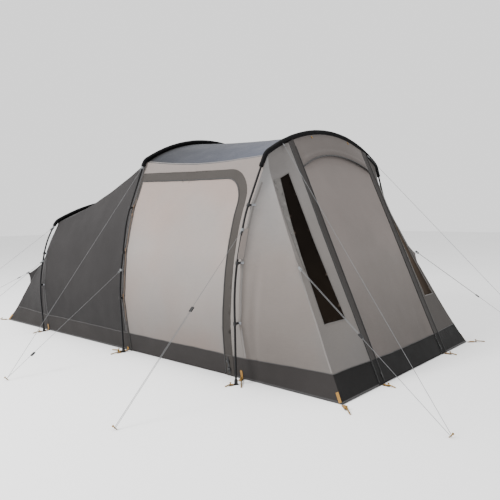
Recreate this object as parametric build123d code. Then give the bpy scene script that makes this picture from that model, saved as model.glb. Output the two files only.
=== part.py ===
from build123d import *
from math import atan, cos, pi, radians, sin, sqrt, tan
import os

# Tunnel tent on three outside arch poles, pitched and zipped shut. Millimetres.
# +X points to the front door, +Z is up, and the origin is on the ground under the
# middle of the fabric. "left" is +Y and "right" is -Y.

# ---- driving dimensions ------------------------------------------------------------
HALF_LENGTH = 2438.0      # fabric, from the middle to the front and rear edges on the ground
CLOTH = 2.5               # thickness of every cloth panel as modelled
SEAM = 0.5                # space left between two sewn panels
SKIRT_HEIGHT = 180.0      # mud band round the foot of the walls
FRONT_RAKE = 0.447        # how far the front leans back for each millimetre of height
DOOR_GAP = 2.0            # zip gap between a door and the cloth round it

POLE_R = 8.5
POLE_WALL = 1.2
ELBOW_R = 11.5
ELBOW_REACH = 60.0        # each arm of an elbow, from the bend
SOCKET_START = 30.0       # where a pole ends inside the elbow, from the bend
POLE_START = 8.0          # a leg's lower end, above the ground, inside its foot
FOOT_R, FOOT_HEIGHT, FOOT_FLANGE_R, FOOT_FLANGE = 14.0, 36.0, 21.0, 4.0
LEG_BENDS = [1600, 900]   # radii of a leg's two gentle bends
CLIP_RING, GUY_RING = 24.0, 22.0           # length of a clip's and a guy tab's ring on a pole
RING_WALL = 5.0           # ring round a pole, its wall with the pole's clearance
CLIP_TAB = (3.0, 18.0)    # thickness and height of a clip's tab
TAB_CLEAR = 7.0           # between a pole clip's tab and the wall cloth
SLEEVE_R = 18.0
SLEEVE_WALL = 2.0
BEND_R = 40.0             # radius of the elbow's bend
STUB = 110.0              # straight length of the roof pole next to each elbow
ROOF_DROP = 25.0          # how far the roof cloth hangs below the pole's centre line

# Each arch: its place along the tent, half its leg as (half width, height) from foot
# to elbow, the crown of the pole, how far the sleeve runs down past the elbow, and the
# wall cloth inside it as (half width, height) from the ground to the shoulder.
ARCHES = {
    "front": {
        "x": 1569.0, "crown": 2032.0, "sleeve_tail": 130.0,
        "leg": [(1288, 0), (1297, 800), (1165, 1290), (905, 1790)],
        "wall": [(1150, 0), (1245, 540), (1150, 1200), (882, 1770)],
        "clips": [470, 930, 1370],
    },
    "middle": {
        "x": 64.0, "crown": 2083.0, "sleeve_tail": 66.0,
        "leg": [(1228, 0), (1254, 640), (1155, 1270), (922, 1830)],
        "wall": [(1150, 0), (1213, 540), (1130, 1180), (899, 1811)],
        "clips": [520, 950, 1370],
    },
    "rear": {
        "x": -1432.0, "crown": 1488.0, "sleeve_tail": 66.0,
        "leg": [(1220, 0), (1256, 560), (1150, 1030), (1018, 1242)],
        "wall": [(1150, 0), (1200, 480), (1148, 900), (994, 1222)],
        "clips": [530, 880],
    },
}

# Slack of the cloth half way between two arches: inward and downward at the shoulder,
# and downward at the crown.
FRONT_BAY_SAG = (15.0, 45.0, 18.0)
REAR_BAY_SAG = (25.0, 50.0, 45.0)

# Front and rear corner seams as (x, half width, height), from the ground up.
FRONT_CREASE = [(2438, 1165, 0), (2328, 1112, 180), (2127, 1037, 540), (1782, 931, 1200),
                (1595, 888, 1640), (1572, 883, 1770)]
REAR_CREASE = [(-2438, 1150, 0), (-2273, 1102, 180), (-2057, 1044, 480),
               (-1705, 976, 900), (-1500, 968, 1150)]

ZIP_STRIP = (551.0, 639.0)                 # inner and outer half width of a front strip
FRONT_DOOR_HALF = 548.0
FRONT_DOOR_SHOULDER = 1700.0               # height of the front door's top corners
FRONT_DOOR_CROWN = 1820.0
HOOD_LAP = 3.0                             # gap between the door's top edge and the hood
STRIP_TOPS = (1925.0, 1892.0)              # height of a strip's inner and outer top corner

# Side door and its border, as (x, z) of bottom rear, top rear, top front, middle front and
# bottom front corners, with the radius of the top front corner.
DOOR_CORNERS = [(95, -10), (95, 1618), (1410, 1588), (1394, 560), (1338, -10)]
BORDER_CORNERS = [(72, -10), (72, 1700), (1492, 1668), (1480, 560), (1428, -10)]
DOOR_CORNER_R, BORDER_CORNER_R = 225.0, 300.0
DOOR_CLEAR = 5.0                           # doors end this far above the ground

# Window as (half width, height): top inner, top outer, bottom outer, bottom inner.
WINDOW = [(725, 1632), (816, 1585), (973, 485), (726, 495)]

GROUNDSHEET_X, GROUNDSHEET_HALF = (-2385.0, 15.0), 1130.0
WING_LEVELS = (540, 1200, 1640)            # heights of the front wings' sections
REAR_LEVELS = (480, 900, 1150)

ROPE_R = 1.5
LOOP_R = 5.0              # centre line of a rope round a peg or a ring pin
PIN_R = 3.5
PEG_SHOWS = 22.0          # peg above the rope's loop
TAB_LENGTH, TAB_WIDTH, TAB_THICK = 30.0, 14.0, 4.0
TAB_OFFSET = 3.0          # tab's root outside the pole
ROPE_GAP = 0.2            # between a tab and the end of its rope
SLEEVE_TAB_LIFT = 7.0     # tab's root above the sleeve, along the rope
RUNNER = (40.0, 24.0, 8.0)                 # along the rope, across both strands, thick
RUNNER_BORE = 1.8
RING_TAB = (20.0, 5.0, 7.0)                # width, thickness and slot of a corner ring's tab
POST_DEPTH, POST_HEAD_R, POST_HEAD = 40.0, 7.0, 4.0


BISECTIONS = 40           # steps that find a leg's point at a height


# ---- small helpers -----------------------------------------------------------------
def mirrored(point, side):
    """A point given as (x, half width, z), put on the left (+1) or the right (-1)."""
    return Vector(point[0], side * point[1], point[2])


def polygon_band(outer, shift):
    """Flat face between a row of points and the same row shifted by the cloth."""
    shifted = [p + shift for p in reversed(outer)]
    return Face(Wire.make_polygon(outer + shifted, close=True))


def arc_band(start, middle, end, shift):
    """Flat face between an arc through three points and the same arc shifted."""
    top = ThreePointArc(start, middle, end)
    under = ThreePointArc(end + shift, middle + shift, start + shift)
    sides = [Line(end, end + shift), Line(start + shift, start)]
    return Face(Wire([top.edge(), sides[0].edge(), under.edge(), sides[1].edge()]))


def skin(sections):
    return loft(sections, ruled=True)


def on_outline(points, height):
    """Half width of a (half width, height) outline at a height."""
    for (y0, z0), (y1, z1) in zip(points, points[1:]):
        if z0 <= height <= z1:
            return y0 + (y1 - y0) * (height - z0) / (z1 - z0)
    return points[-1][0]


def front_x(height):
    return HALF_LENGTH - FRONT_RAKE * height


def rod(start, end, radius):
    axis = end - start
    plane = Plane(origin=start, z_dir=axis.normalized())
    return extrude(plane * Circle(radius), amount=axis.length)


def swept(path, radius, bore=0.0):
    """Round bar along a path, or a tube if it has a bore."""
    plane = Plane(origin=path @ 0, z_dir=path % 0)
    solid = sweep(plane * Circle(radius), path=path)
    return solid - sweep(plane * Circle(bore), path=path) if bore else solid


def oriented_box(origin, along, across, size, center=0.5):
    """Box with its length on `along`, its width on `across`; center 0.5 centres the length."""
    plane = Plane(origin=origin, x_dir=along, z_dir=along.cross(across))
    return plane * Pos(size[0] * (0.5 - center), 0, 0) * Box(*size)


def below(height):
    """Block that takes away everything under a height."""
    return Pos(0, 0, height - 500) * Box(9000, 9000, 1000)


def save(name, solids):
    flat = [s for item in solids for s in item.solids()]
    export_step(flat[0] if len(flat) == 1 else Compound(children=flat), f"parts/{name}.step")


# ---- arches ------------------------------------------------------------------------
class Arch:
    """Points and directions of one arch; half is drawn and the other half mirrored."""

    def __init__(self, data):
        self.x, self.crown = data["x"], data["crown"]
        self.leg, self.wall = data["leg"], data["wall"]
        self.tail, self.clips = data["sleeve_tail"], data["clips"]
        (y0, z0), (y1, z1) = self.leg[-2:]
        run = sqrt((y1 - y0) ** 2 + (z1 - z0) ** 2)
        self.leg_way = ((y1 - y0) / run, (z1 - z0) / run)
        # the roof arc is tangent to both straight stubs and touches the crown
        half_angle = atan((self.crown - z1) / (y1 + STUB))
        self.roof_way = (-cos(2 * half_angle), sin(2 * half_angle))

    def place(self, point, side):
        return Vector(self.x, side * point[0], point[1])

    def from_bend(self, distance, side):
        """Point at a distance from the bend: negative down the leg, positive up the roof."""
        way = self.roof_way if distance > 0 else self.leg_way
        y, z = self.leg[-1]
        return self.place((y + way[0] * distance, z + way[1] * distance), side)

    def leg_path(self, side, start):
        points = [self.place(p, side) for p in self.leg]
        points[0] = points[0] + Vector(0, 0, start)
        points[-1] = self.from_bend(-SOCKET_START, side)
        return FilletPolyline(*points, radius=LEG_BENDS)

    def roof_path(self, start):
        left, right = (self.from_bend(STUB, s) for s in (1, -1))
        ends = [self.from_bend(start, s) for s in (1, -1)]
        arc = ThreePointArc(left, Vector(self.x, 0, self.crown), right)
        return Wire([Line(ends[0], left).edge(), arc.edge(), Line(right, ends[1]).edge()])

    def bend_path(self, below, above, side):
        points = [self.from_bend(d, side) for d in (-below, 0, above)]
        return FilletPolyline(*points, radius=[BEND_R])

    def sleeve_path(self):
        left = self.bend_path(self.tail, STUB, 1)
        right = self.bend_path(self.tail, STUB, -1)
        roof = ThreePointArc(self.from_bend(STUB, 1), Vector(self.x, 0, self.crown),
                             self.from_bend(STUB, -1))
        return Wire([*left.edges(), roof.edge(), *right.edges()])

    def on_leg(self, height, side):
        """Point and direction of the leg's centre line at a height."""
        path = self.leg_path(side, 0)
        low, high = 0.0, 1.0
        for _ in range(BISECTIONS):
            half = (low + high) / 2
            low, high = (half, high) if (path @ half).Z < height else (low, half)
        return path @ low, path % low


arches = {name: Arch(data) for name, data in ARCHES.items()}


def arch_nodes():
    roof_poles, elbows, sleeves = [], [], []
    for name, arch in arches.items():
        legs = [swept(arch.leg_path(s, POLE_START), POLE_R, POLE_R - POLE_WALL)
                for s in (1, -1)]
        save(f"{name}_arch_legs", legs)
        roof_poles.append(swept(arch.roof_path(SOCKET_START), POLE_R, POLE_R - POLE_WALL))
        elbows += [swept(arch.bend_path(ELBOW_REACH, ELBOW_REACH, s), ELBOW_R, POLE_R + 0.2)
                   for s in (1, -1)]
        sleeves.append(swept(arch.sleeve_path(), SLEEVE_R, SLEEVE_R - SLEEVE_WALL))
    save("roof_poles", roof_poles)
    save("pole_elbows", elbows)
    save("pole_sleeves", sleeves)


def ring_on_pole(arch, height, side, length):
    point, way = arch.on_leg(height, side)
    return Plane(origin=point, z_dir=way) * Cylinder(POLE_R + RING_WALL, length), point


def pole_room(arch, height, side):
    """Space that a ring leaves for the leg it is on."""
    point, way = arch.on_leg(height, side)
    return Plane(origin=point, z_dir=way) * Cylinder(POLE_R + 0.3, 4 * CLIP_RING)


def clip_and_foot_nodes():
    clips, feet = [], []
    for arch in arches.values():
        for side in (1, -1):
            for height in arch.clips:
                ring, point = ring_on_pole(arch, height, side, CLIP_RING)
                cloth = on_outline(arch.wall, height) + TAB_CLEAR
                inner = abs(point.Y) - POLE_R - 1
                middle = Pos(arch.x, side * (inner + cloth) / 2, height)
                tab = middle * Box(CLIP_TAB[0], inner - cloth, CLIP_TAB[1])
                clips.append(ring + tab - pole_room(arch, height, side))
            foot = arch.place(arch.leg[0], side)
            cup = rod(foot, foot + Vector(0, 0, FOOT_HEIGHT), FOOT_R)
            base = rod(foot, foot + Vector(0, 0, FOOT_FLANGE), FOOT_FLANGE_R)
            up = (arch.place(arch.leg[1], side) - foot).normalized()
            start = foot + Vector(0, 0, POLE_START - 0.5)
            feet.append(cup + base - rod(start, start + up * 2 * FOOT_HEIGHT, POLE_R + 0.5))
    save("pole_clips", clips)
    save("pole_feet", feet)


# ---- cloth between the arches ------------------------------------------------------
def between(first, second, sag_in, sag_down):
    """Outline half way between two outlines, let in and down by the cloth's slack."""
    middle = [((a[0] + b[0]) / 2, (a[1] + b[1]) / 2) for a, b in zip(first, second)]
    middle[1] = (middle[1][0] - sag_in / 2, middle[1][1])
    middle[2] = (middle[2][0] - sag_in, middle[2][1])
    middle[3] = (middle[3][0] - sag_in, middle[3][1] - sag_down)
    return middle


def bay(rear, front, sag):
    """Stations of a bay, rear to front: x, wall outline, crown of the roof cloth."""
    ends = [(rear.x + SEAM, rear.wall, rear.crown - ROOF_DROP),
            (front.x - SEAM, front.wall, front.crown - ROOF_DROP)]
    middle = between(rear.wall, front.wall, sag[0], sag[1])
    crown = (ends[0][2] + ends[1][2]) / 2 - sag[2]
    return [ends[0], ((rear.x + front.x) / 2, middle, crown), ends[1]]


def roof(stations):
    sections = []
    for x, wall, crown in stations:
        y, z = wall[-1]
        edge = z + SEAM + CLOTH
        sections.append(arc_band(Vector(x, y, edge), Vector(x, 0, crown), Vector(x, -y, edge),
                                 Vector(0, 0, -CLOTH)))
    return skin(sections)


def side_wall(stations, side):
    sections = []
    for x, wall, _ in stations:
        foot = SKIRT_HEIGHT + SEAM
        points = [(on_outline(wall, foot), foot), *wall[1:]]
        sections.append(polygon_band([Vector(x, side * y, z) for y, z in points],
                                     Vector(0, -side * CLOTH, 0)))
    return skin(sections)


front_bay = bay(arches["middle"], arches["front"], FRONT_BAY_SAG)
rear_bay = bay(arches["rear"], arches["middle"], REAR_BAY_SAG)


PRISM_START, PRISM_DEPTH = 700, 700        # from inside the tent out past its walls


def outline_prism(corners, corner_r, side, grow=0.0):
    """Block that cuts a door-shaped outline through a side wall."""
    (x0, z0), (x1, z1), (x2, z2), *front = corners
    points = [Vector(x0 - grow, 0, z0), Vector(x1 - grow, 0, z1 + grow),
              Vector(x2 + grow, 0, z2 + grow), *[Vector(x + grow, 0, z) for x, z in front]]
    face = Face(Wire.make_polygon(points, close=True))
    corner = face.vertices().sort_by_distance(points[2])[0]
    face = face.fillet_2d(corner_r, [corner])
    return extrude(Pos(0, side * PRISM_START, 0) * face, amount=PRISM_DEPTH, dir=(0, side, 0))


def side_wall_nodes():
    borders = []
    for side, name in ((1, "left"), (-1, "right")):
        whole = side_wall(front_bay, side)
        outer = outline_prism(BORDER_CORNERS, BORDER_CORNER_R, side)
        outer_seam = outline_prism(BORDER_CORNERS, BORDER_CORNER_R, side, SEAM)
        opening = outline_prism(DOOR_CORNERS, DOOR_CORNER_R, side, DOOR_GAP)
        door = outline_prism(DOOR_CORNERS, DOOR_CORNER_R, side)
        save(f"living_wall_{name}", [whole - outer_seam])
        borders.append((whole & outer) - opening)
        save(f"side_door_{name}", [whole & door])
        band = side_skirt([front_bay[0], front_bay[2]], side)
        save(f"side_door_skirt_{name}", [(band & door) - below(DOOR_CLEAR)])
    save("side_door_borders", borders)
    save("bedroom_walls", [side_wall(rear_bay, side) for side in (1, -1)])


# ---- skirt -------------------------------------------------------------------------
def skirt_section(bottom, top, shift):
    return polygon_band([bottom, top], shift)


def side_skirt(stations, side):
    shift = Vector(0, -side * CLOTH, 0)
    sections = []
    for x, wall, _ in stations:
        sections.append(skirt_section(Vector(x, side * wall[0][0], 0),
                                      Vector(x, side * on_outline(wall, SKIRT_HEIGHT), SKIRT_HEIGHT),
                                      shift))
    return skin(sections)


def skirt_node():
    pieces = []
    for side in (1, -1):
        inward = Vector(0, -side * CLOTH, 0)
        doorway = outline_prism(DOOR_CORNERS, DOOR_CORNER_R, side, DOOR_GAP)
        pieces += (side_skirt([front_bay[0], front_bay[2]], side) - doorway).solids()
        pieces.append(side_skirt([rear_bay[0], rear_bay[2]], side))
        for arch, crease, step in ((arches["front"], FRONT_CREASE, SEAM),
                                   (arches["rear"], REAR_CREASE, -SEAM)):
            at_arch = [Vector(arch.x + step, side * on_outline(arch.wall, z), z)
                       for z in (0, SKIRT_HEIGHT)]
            at_corner = [mirrored(p, side) for p in crease[:2]]
            pieces.append(skin([skirt_section(*at_arch, inward),
                                skirt_section(*at_corner, inward)]))
        # front skirt from the corner seam to the zip strip
        corner = [mirrored(p, side) - Vector(0, side * (CLOTH + SEAM), 0) for p in FRONT_CREASE[:2]]
        strip = [Vector(front_x(z), side * (ZIP_STRIP[1] + SEAM), z) for z in (0, SKIRT_HEIGHT)]
        pieces.append(skin([skirt_section(*corner, Vector(-CLOTH, 0, 0)),
                            skirt_section(*strip, Vector(-CLOTH, 0, 0))]))
    rear = [[mirrored(p, side) - Vector(0, side * (CLOTH + SEAM), 0) for p in REAR_CREASE[:2]]
            for side in (1, -1)]
    pieces.append(skin([skirt_section(*ends, Vector(CLOTH, 0, 0)) for ends in rear]))
    save("mud_skirt", pieces)
    (x0, x1), half = GROUNDSHEET_X, GROUNDSHEET_HALF
    sheet = Pos((x0 + x1) / 2, 0, 1.5) * Box(x1 - x0, 2 * half, 2)
    save("groundsheet", [sheet])


# ---- front end ---------------------------------------------------------------------
def crease_at(crease, height):
    for a, b in zip(crease, crease[1:]):
        if a[2] <= height <= b[2]:
            t = (height - a[2]) / (b[2] - a[2])
            return tuple(a[i] + (b[i] - a[i]) * t for i in range(3))
    return crease[-1]


def wing(arch, crease, levels, step, side):
    """Side cloth from an arch out to the corner seam, as flat level sections."""
    sections = []
    for z in levels:
        near = Vector(arch.x + step, side * on_outline(arch.wall, z), z)
        sections.append(polygon_band([near, mirrored(crease_at(crease, z), side)],
                                     Vector(0, -side * CLOTH, 0)))
    return skin(sections)


def window_panel(side):
    inward = Vector(-CLOTH, 0, 0)
    sections = []
    for z, strip_z in ((SKIRT_HEIGHT + SEAM,) * 2, (540, 540), (1200, 1200), (1640, 1700),
                       (1770, STRIP_TOPS[1])):
        x, y, height = crease_at(FRONT_CREASE, z)
        seam = Vector(x + SEAM, side * (y - CLOTH - 2 * SEAM), height)
        strip = Vector(front_x(strip_z), side * (ZIP_STRIP[1] + SEAM), strip_z)
        sections.append(polygon_band([seam, strip], inward))
    return skin(sections)


def front_nodes():
    low = SKIRT_HEIGHT + SEAM
    wings, panes, strips = [], [], []
    for side, name in ((1, "left"), (-1, "right")):
        wings.append(wing(arches["front"], FRONT_CREASE, (low, *WING_LEVELS), SEAM, side))
        whole = window_panel(side)
        hole = extrude(Face(Wire.make_polygon([Vector(1400, side * y, z) for y, z in WINDOW],
                                              close=True)), amount=1000, dir=(1, 0, 0))
        save(f"window_panel_{name}", [whole - hole])
        panes.append(whole & hole)
        inner, outer = (side * y for y in ZIP_STRIP)
        corners = [Vector(front_x(0), inner, 0), Vector(front_x(0), outer, 0),
                   Vector(front_x(STRIP_TOPS[1]), outer, STRIP_TOPS[1]),
                   Vector(front_x(STRIP_TOPS[0]), inner, STRIP_TOPS[0])]
        strips.append(extrude(Face(Wire.make_polygon(corners, close=True)),
                              amount=CLOTH, dir=(-1, 0, 0)))
    save("front_wings", wings)
    save("window_panes", panes)
    save("front_zip_strips", strips)
    save("front_hood", [hood()])
    front_door_nodes(low)


def hood():
    """Cloth between the front door's curved top edge and the front arch."""
    arch = arches["front"]
    half, rise = arch.wall[-1][0], arch.crown - ROOF_DROP - arch.wall[-1][1]
    radius = (half ** 2 + rise ** 2) / (2 * rise)
    centre = arch.crown - ROOF_DROP - radius
    width = FRONT_DOOR_HALF + 2.5
    shoulder = centre + sqrt(radius ** 2 - width ** 2)
    top_x = arch.x + 6
    low, high = FRONT_DOOR_SHOULDER + HOOD_LAP, FRONT_DOOR_CROWN + HOOD_LAP
    bottom = ThreePointArc((front_x(low), -width, low), (front_x(high), 0, high),
                           (front_x(low), width, low))
    top = ThreePointArc((top_x, -width, shoulder), (top_x, 0, arch.crown - ROOF_DROP),
                        (top_x, width, shoulder))
    face = Face.make_surface_from_curves(bottom.edge(), top.edge())
    return extrude(face, amount=CLOTH, dir=(-1, 0, 0))


def front_door_nodes(low):
    half = FRONT_DOOR_HALF
    corners = [Vector(front_x(low), s * half, low) for s in (-1, 1)]
    tops = [Vector(front_x(FRONT_DOOR_SHOULDER), s * half, FRONT_DOOR_SHOULDER) for s in (1, -1)]
    crown = ThreePointArc(tops[0], (front_x(FRONT_DOOR_CROWN), 0, FRONT_DOOR_CROWN), tops[1])
    edges = [Line(corners[0], corners[1]).edge(), Line(corners[1], tops[0]).edge(),
             crown.edge(), Line(tops[1], corners[0]).edge()]
    save("front_door", [extrude(Face(Wire(edges)), amount=CLOTH, dir=(-1, 0, 0))])
    band = [Vector(front_x(z), y, z) for z, y in ((DOOR_CLEAR, -half), (DOOR_CLEAR, half),
                                                  (SKIRT_HEIGHT, half), (SKIRT_HEIGHT, -half))]
    save("front_door_skirt", [extrude(Face(Wire.make_polygon(band, close=True)),
                                      amount=CLOTH, dir=(-1, 0, 0))])


# ---- rear end ----------------------------------------------------------------------
def rear_nodes():
    arch = arches["rear"]
    levels = (SKIRT_HEIGHT + SEAM, *REAR_LEVELS)
    save("rear_wings", [wing(arch, REAR_CREASE, levels, -SEAM, side) for side in (1, -1)])
    # each section: a corner point, the way the panel faces there, and its bulge
    y, z = arch.wall[-1]
    stations = [((arch.x - 2 * SEAM, y - 6, z - 2), (0, 1), arch.crown - ROOF_DROP - z + 2)]
    for height, way, bulge in ((1150, (-0.55, 0.84), 135), (900, (-0.7, 0.71), 98),
                               (480, (-0.77, 0.64), 43), (SKIRT_HEIGHT + CLOTH, (-0.8, 0.6), 25)):
        x, half, level = crease_at(REAR_CREASE, height)
        stations.append(((x, half - CLOTH - 2 * SEAM, level), way, bulge))
    sections = []
    for (x, half, level), (nx, nz), bulge in stations:
        out = Vector(nx, 0, nz)
        sections.append(arc_band(Vector(x, half, level), Vector(x, 0, level) + out * bulge,
                                 Vector(x, -half, level), out * -CLOTH))
    save("rear_panel", [skin(sections)])
    save("front_roof", [roof(front_bay)])
    save("rear_roof", [roof(rear_bay)])


# ---- webbing, rings and ground pegs ------------------------------------------------
# Each anchor: where its strap starts on the ground, which way it points, the strap's
# length, and how much of the peg shows above the ground.
ANCHORS = [
    ((1564, 1312, 0), (-0.19, 0.98), 12.0, 50.0), ((1512, 1163, 0), (0.66, 0.75), 12.0, 190.0),
    ((38, 1231, 0), (-0.99, 0.14), 20.0, 90.0), ((62, 1252, 0), (-0.1, 0.99), 16.0, 80.0),
    ((-1429, 1244, 0), (0.15, 0.99), 20.0, 80.0), ((2442, 1168, 0), (0.72, 0.69), 70.0, 95.0),
    ((2440, 597, 0), (0.99, 0.1), 34.0, 60.0), ((-2442, 1152, 0), (-0.78, 0.62), 60.0, 95.0),
]
RING_R, RING_BAR = 12.0, 2.0
STRAP_WIDTH, STRAP_THICK, STRAP_LEVEL = 25.0, 2.0, 1.5
BUCKLE, BUCKLE_LIFT = (12, 29, 5.6), 4.0
PEG_HEIGHT, PEG_HEAD_R, PEG_HEAD, PEG_SHANK_R = 27.0, 8.0, 5.0, 4.5
PEG_NECK = 14.0                            # height at which the shank leaves the pin


def anchor_nodes():
    straps, rings, pegs, buckles = [], [], [], []
    for start, way, length, shows in ANCHORS:
        for side in (1, -1):
            way_out = Vector(way[0], side * way[1], 0).normalized()
            level = mirrored(start, side) + Vector(0, 0, STRAP_LEVEL)
            across = Vector(0, 0, 1).cross(way_out)
            straps.append(oriented_box(level + way_out, way_out, across,
                                       (length, STRAP_WIDTH, STRAP_THICK), 0.0))
            centre = level + way_out * (length + 2 + RING_R + RING_BAR) + Vector(0, 0, 1)
            rings.append(Pos(*centre) * Torus(RING_R, RING_BAR))
            buckles.append(oriented_box(level + way_out * (length * 0.45) + Vector(0, 0, BUCKLE_LIFT),
                                        way_out, across, BUCKLE))
            ground = Vector(centre.X, centre.Y, 0)
            up = Vector(0, 0, 1)
            pin = rod(ground + up * 0.3, ground + up * (PEG_HEIGHT - 1), PIN_R)
            head = rod(ground + up * (PEG_HEIGHT - PEG_HEAD), ground + up * PEG_HEIGHT, PEG_HEAD_R)
            tip = ground + up * (PEG_SHANK_R + 0.5) + way_out * shows
            pegs.append(pin + head + rod(ground + up * PEG_NECK, tip, PEG_SHANK_R))
    for arch in arches.values():
        for side in (1, -1):
            hem, foot = arch.wall[0][0] + 1.5, arch.leg[0][0] - FOOT_FLANGE_R - 1
            middle = Pos(arch.x, side * (hem + foot) / 2, STRAP_LEVEL)
            straps.append(middle * Box(STRAP_WIDTH, foot - hem, STRAP_THICK))
    save("peg_webbing", straps)
    save("peg_rings", rings)
    save("ground_pegs", pegs)
    save("strap_buckles", buckles)


# ---- guy ropes ---------------------------------------------------------------------
# Points are (x, half width, z) on either side of the tent. A "corner" guy runs from the
# arch to its peg and back to a ring on the corner seam, where it doubles back to its
# runner. A "single" guy runs from the pole round its peg and back up to its runner. The
# "forked" guy runs from the upper pole round its peg and up to the lower pole.
GUYS = {
    "front_corner": {"kind": "corner", "arch": "front", "roof": 692, "peg": (3207, 1241, 14),
                     "ring": (1990, 1018, 882), "runner": 0.46},
    "front_arch": {"kind": "single", "arch": "front", "leg": 1180, "peg": (1598, 2412, 14),
                   "runner": 0.44},
    "middle_arch": {"kind": "forked", "arch": "middle", "leg": 1755, "low_leg": 785,
                    "peg": (80, 2362, 14), "runner": 0.79},
    "rear_arch": {"kind": "single", "arch": "rear", "leg": 795, "peg": (-1458, 2337, 14),
                  "runner": 0.44},
    "rear_corner": {"kind": "corner", "arch": "rear", "leg": 1166, "peg": (-2614, 2067, 14),
                    "ring": (-2090, 1062, 600), "runner": 0.08},
}


def sleeve_point(arch, half_width):
    """Centre of the roof pole at a half width, on the roof arc."""
    left = arch.from_bend(STUB, 1)
    rise = arch.crown - left.Z
    radius = (left.Y ** 2 + rise ** 2) / (2 * rise)
    return Vector(arch.x, half_width, arch.crown - radius + sqrt(radius ** 2 - half_width ** 2))


def tab_on_pole(arch, height, side, peg):
    """Ring and webbing tab on a leg; returns the solid and where its rope starts."""
    ring, centre = ring_on_pole(arch, height, side, GUY_RING)
    way = (peg - centre).normalized()
    across = way.cross(Vector(1, 0, 0)).normalized()
    root = centre + way * (POLE_R + TAB_OFFSET)
    tab = oriented_box(root, way, across, (TAB_LENGTH, TAB_WIDTH, TAB_THICK), 0.0)
    start = root + way * (TAB_LENGTH + ROPE_GAP)
    return ring + tab - pole_room(arch, height, side), start


def ring_tab(centre, way, across):
    """Slotted tab with a cross pin that a rope turns round; the slot opens to the peg."""
    pin_way = way.cross(across).normalized()
    width, thick, slot_width = RING_TAB
    plate = oriented_box(centre - way * 4, way * -1, pin_way, (TAB_LENGTH, width, thick), 0.0)
    plate = plate + oriented_box(centre + way * 5, way * -1, pin_way, (12, width, thick), 0.0)
    slot_length = 8 + LOOP_R + ROPE_R + 3
    slot = oriented_box(centre + way * 8, way * -1, pin_way, (slot_length, slot_width, 9), 0.0)
    half_pin = pin_way * (width / 2 - 1)
    return (plate - slot) + rod(centre - half_pin, centre + half_pin, PIN_R)


def runner_block(strand_start, way, across):
    """Plate with two bores, one on each strand; the first strand runs through its centre."""
    centre = strand_start + across * LOOP_R
    block = oriented_box(centre, way, across, RUNNER)
    for offset in (-LOOP_R, LOOP_R):
        place = centre + across * offset
        block = block - rod(place - way * 30, place + way * 30, RUNNER_BORE)
    return block


def rope_length(points, radii):
    """Length of the rope's centre line along its runs and arcs, for the printed check."""
    total = sum((b - a).length for a, b in zip(points, points[1:]))
    for a, b, c, r in zip(points, points[1:], points[2:], radii):
        half = (b - a).get_angle(c - b) / 2
        total += 2 * r * (radians(half) - tan(radians(half)))
    return total


def guy(name, data, side):
    arch, peg = arches[data["arch"]], mirrored(data["peg"], side)
    tabs = []
    if "roof" in data:
        centre = sleeve_point(arch, side * data["roof"])
        way = (peg - centre).normalized()
        across = way.cross(Vector(1, 0, 0)).normalized()
        root = centre + way * (SLEEVE_R + SLEEVE_TAB_LIFT)
        start = root + way * (TAB_LENGTH + ROPE_GAP)
        tabs.append(oriented_box(root, way, across, (TAB_LENGTH, TAB_WIDTH, TAB_THICK), 0.0))
    else:
        tab, start = tab_on_pole(arch, data["leg"], side, peg)
        tabs.append(tab)
    if data["kind"] == "corner":
        back = mirrored(data["ring"], side)
    elif data["kind"] == "forked":
        tab, back = tab_on_pole(arch, data["low_leg"], side, peg)
        tabs.append(tab)
    else:
        back = start
    to_tent = ((start - peg).normalized() + (back - peg).normalized()).normalized()
    across = to_tent.cross(Vector(0, 0, side)).normalized()
    if ((start - peg).normalized() - (back - peg).normalized()).dot(across) < 0:
        across = across * -1
    turn = [peg + across * LOOP_R - to_tent * LOOP_R, peg - across * LOOP_R - to_tent * LOOP_R]
    if data["kind"] == "corner":
        way = (back - turn[1]).normalized()
        aside = way.cross(Vector(0, 0, side)).normalized()
        over = [back + aside * LOOP_R + way * LOOP_R, back - aside * LOOP_R + way * LOOP_R]
        way = (over[0] - turn[1]).normalized()
        doubled = (back - peg).length * data["runner"]
        end = over[1] - way * (doubled + LOOP_R)
        points = [start, *turn, *over, end]
        runner = runner_block(end + aside * 2 * LOOP_R, way, aside * -1)
        tabs.append(ring_tab(back, way * -1, aside))
    elif data["kind"] == "single":
        way = (start - turn[0]).normalized()
        doubled = (start - peg).length * (1 - data["runner"])
        end = turn[1] + way * doubled
        points = [start, *turn, end]
        runner = runner_block(end + across * 2 * LOOP_R, way, across * -1)
    else:
        way = (back - turn[1]).normalized()
        points = [start, *turn, back]
        place = turn[1] + way * ((back - peg).length * (1 - data["runner"]))
        runner = runner_block(place, way, across)
    radii = []
    for a, b, c in zip(points, points[1:], points[2:]):
        half = (b - a).get_angle(c - b) / 2
        room = 0.48 * min((b - a).length, (c - b).length) / tan(radians(half))
        radii.append(min(room, LOOP_R))
    rope = swept(FilletPolyline(*points, radius=radii), ROPE_R)
    post_way = to_tent.cross(across).normalized()
    post_way = post_way if post_way.Z > 0 else post_way * -1
    top = peg + post_way * PEG_SHOWS
    post = rod(peg - post_way * POST_DEPTH, top, PIN_R)
    post = post + rod(top - post_way * POST_HEAD, top, POST_HEAD_R) - below(0)
    length = rope_length(points, radii)
    section = pi * ROPE_R ** 2
    print(f"{name}: length {length:.0f} volume ratio {rope.volume / (section * length):.4f}",
          "radii", [round(r, 1) for r in radii])
    for p in points:
        print("   ", tuple(round(v, 1) for v in p))
    print("    runner way", tuple(round(v, 5) for v in way), "doubled",
          round(doubled, 1) if data["kind"] != "forked" else 0)
    return rope, runner, post, tabs


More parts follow.
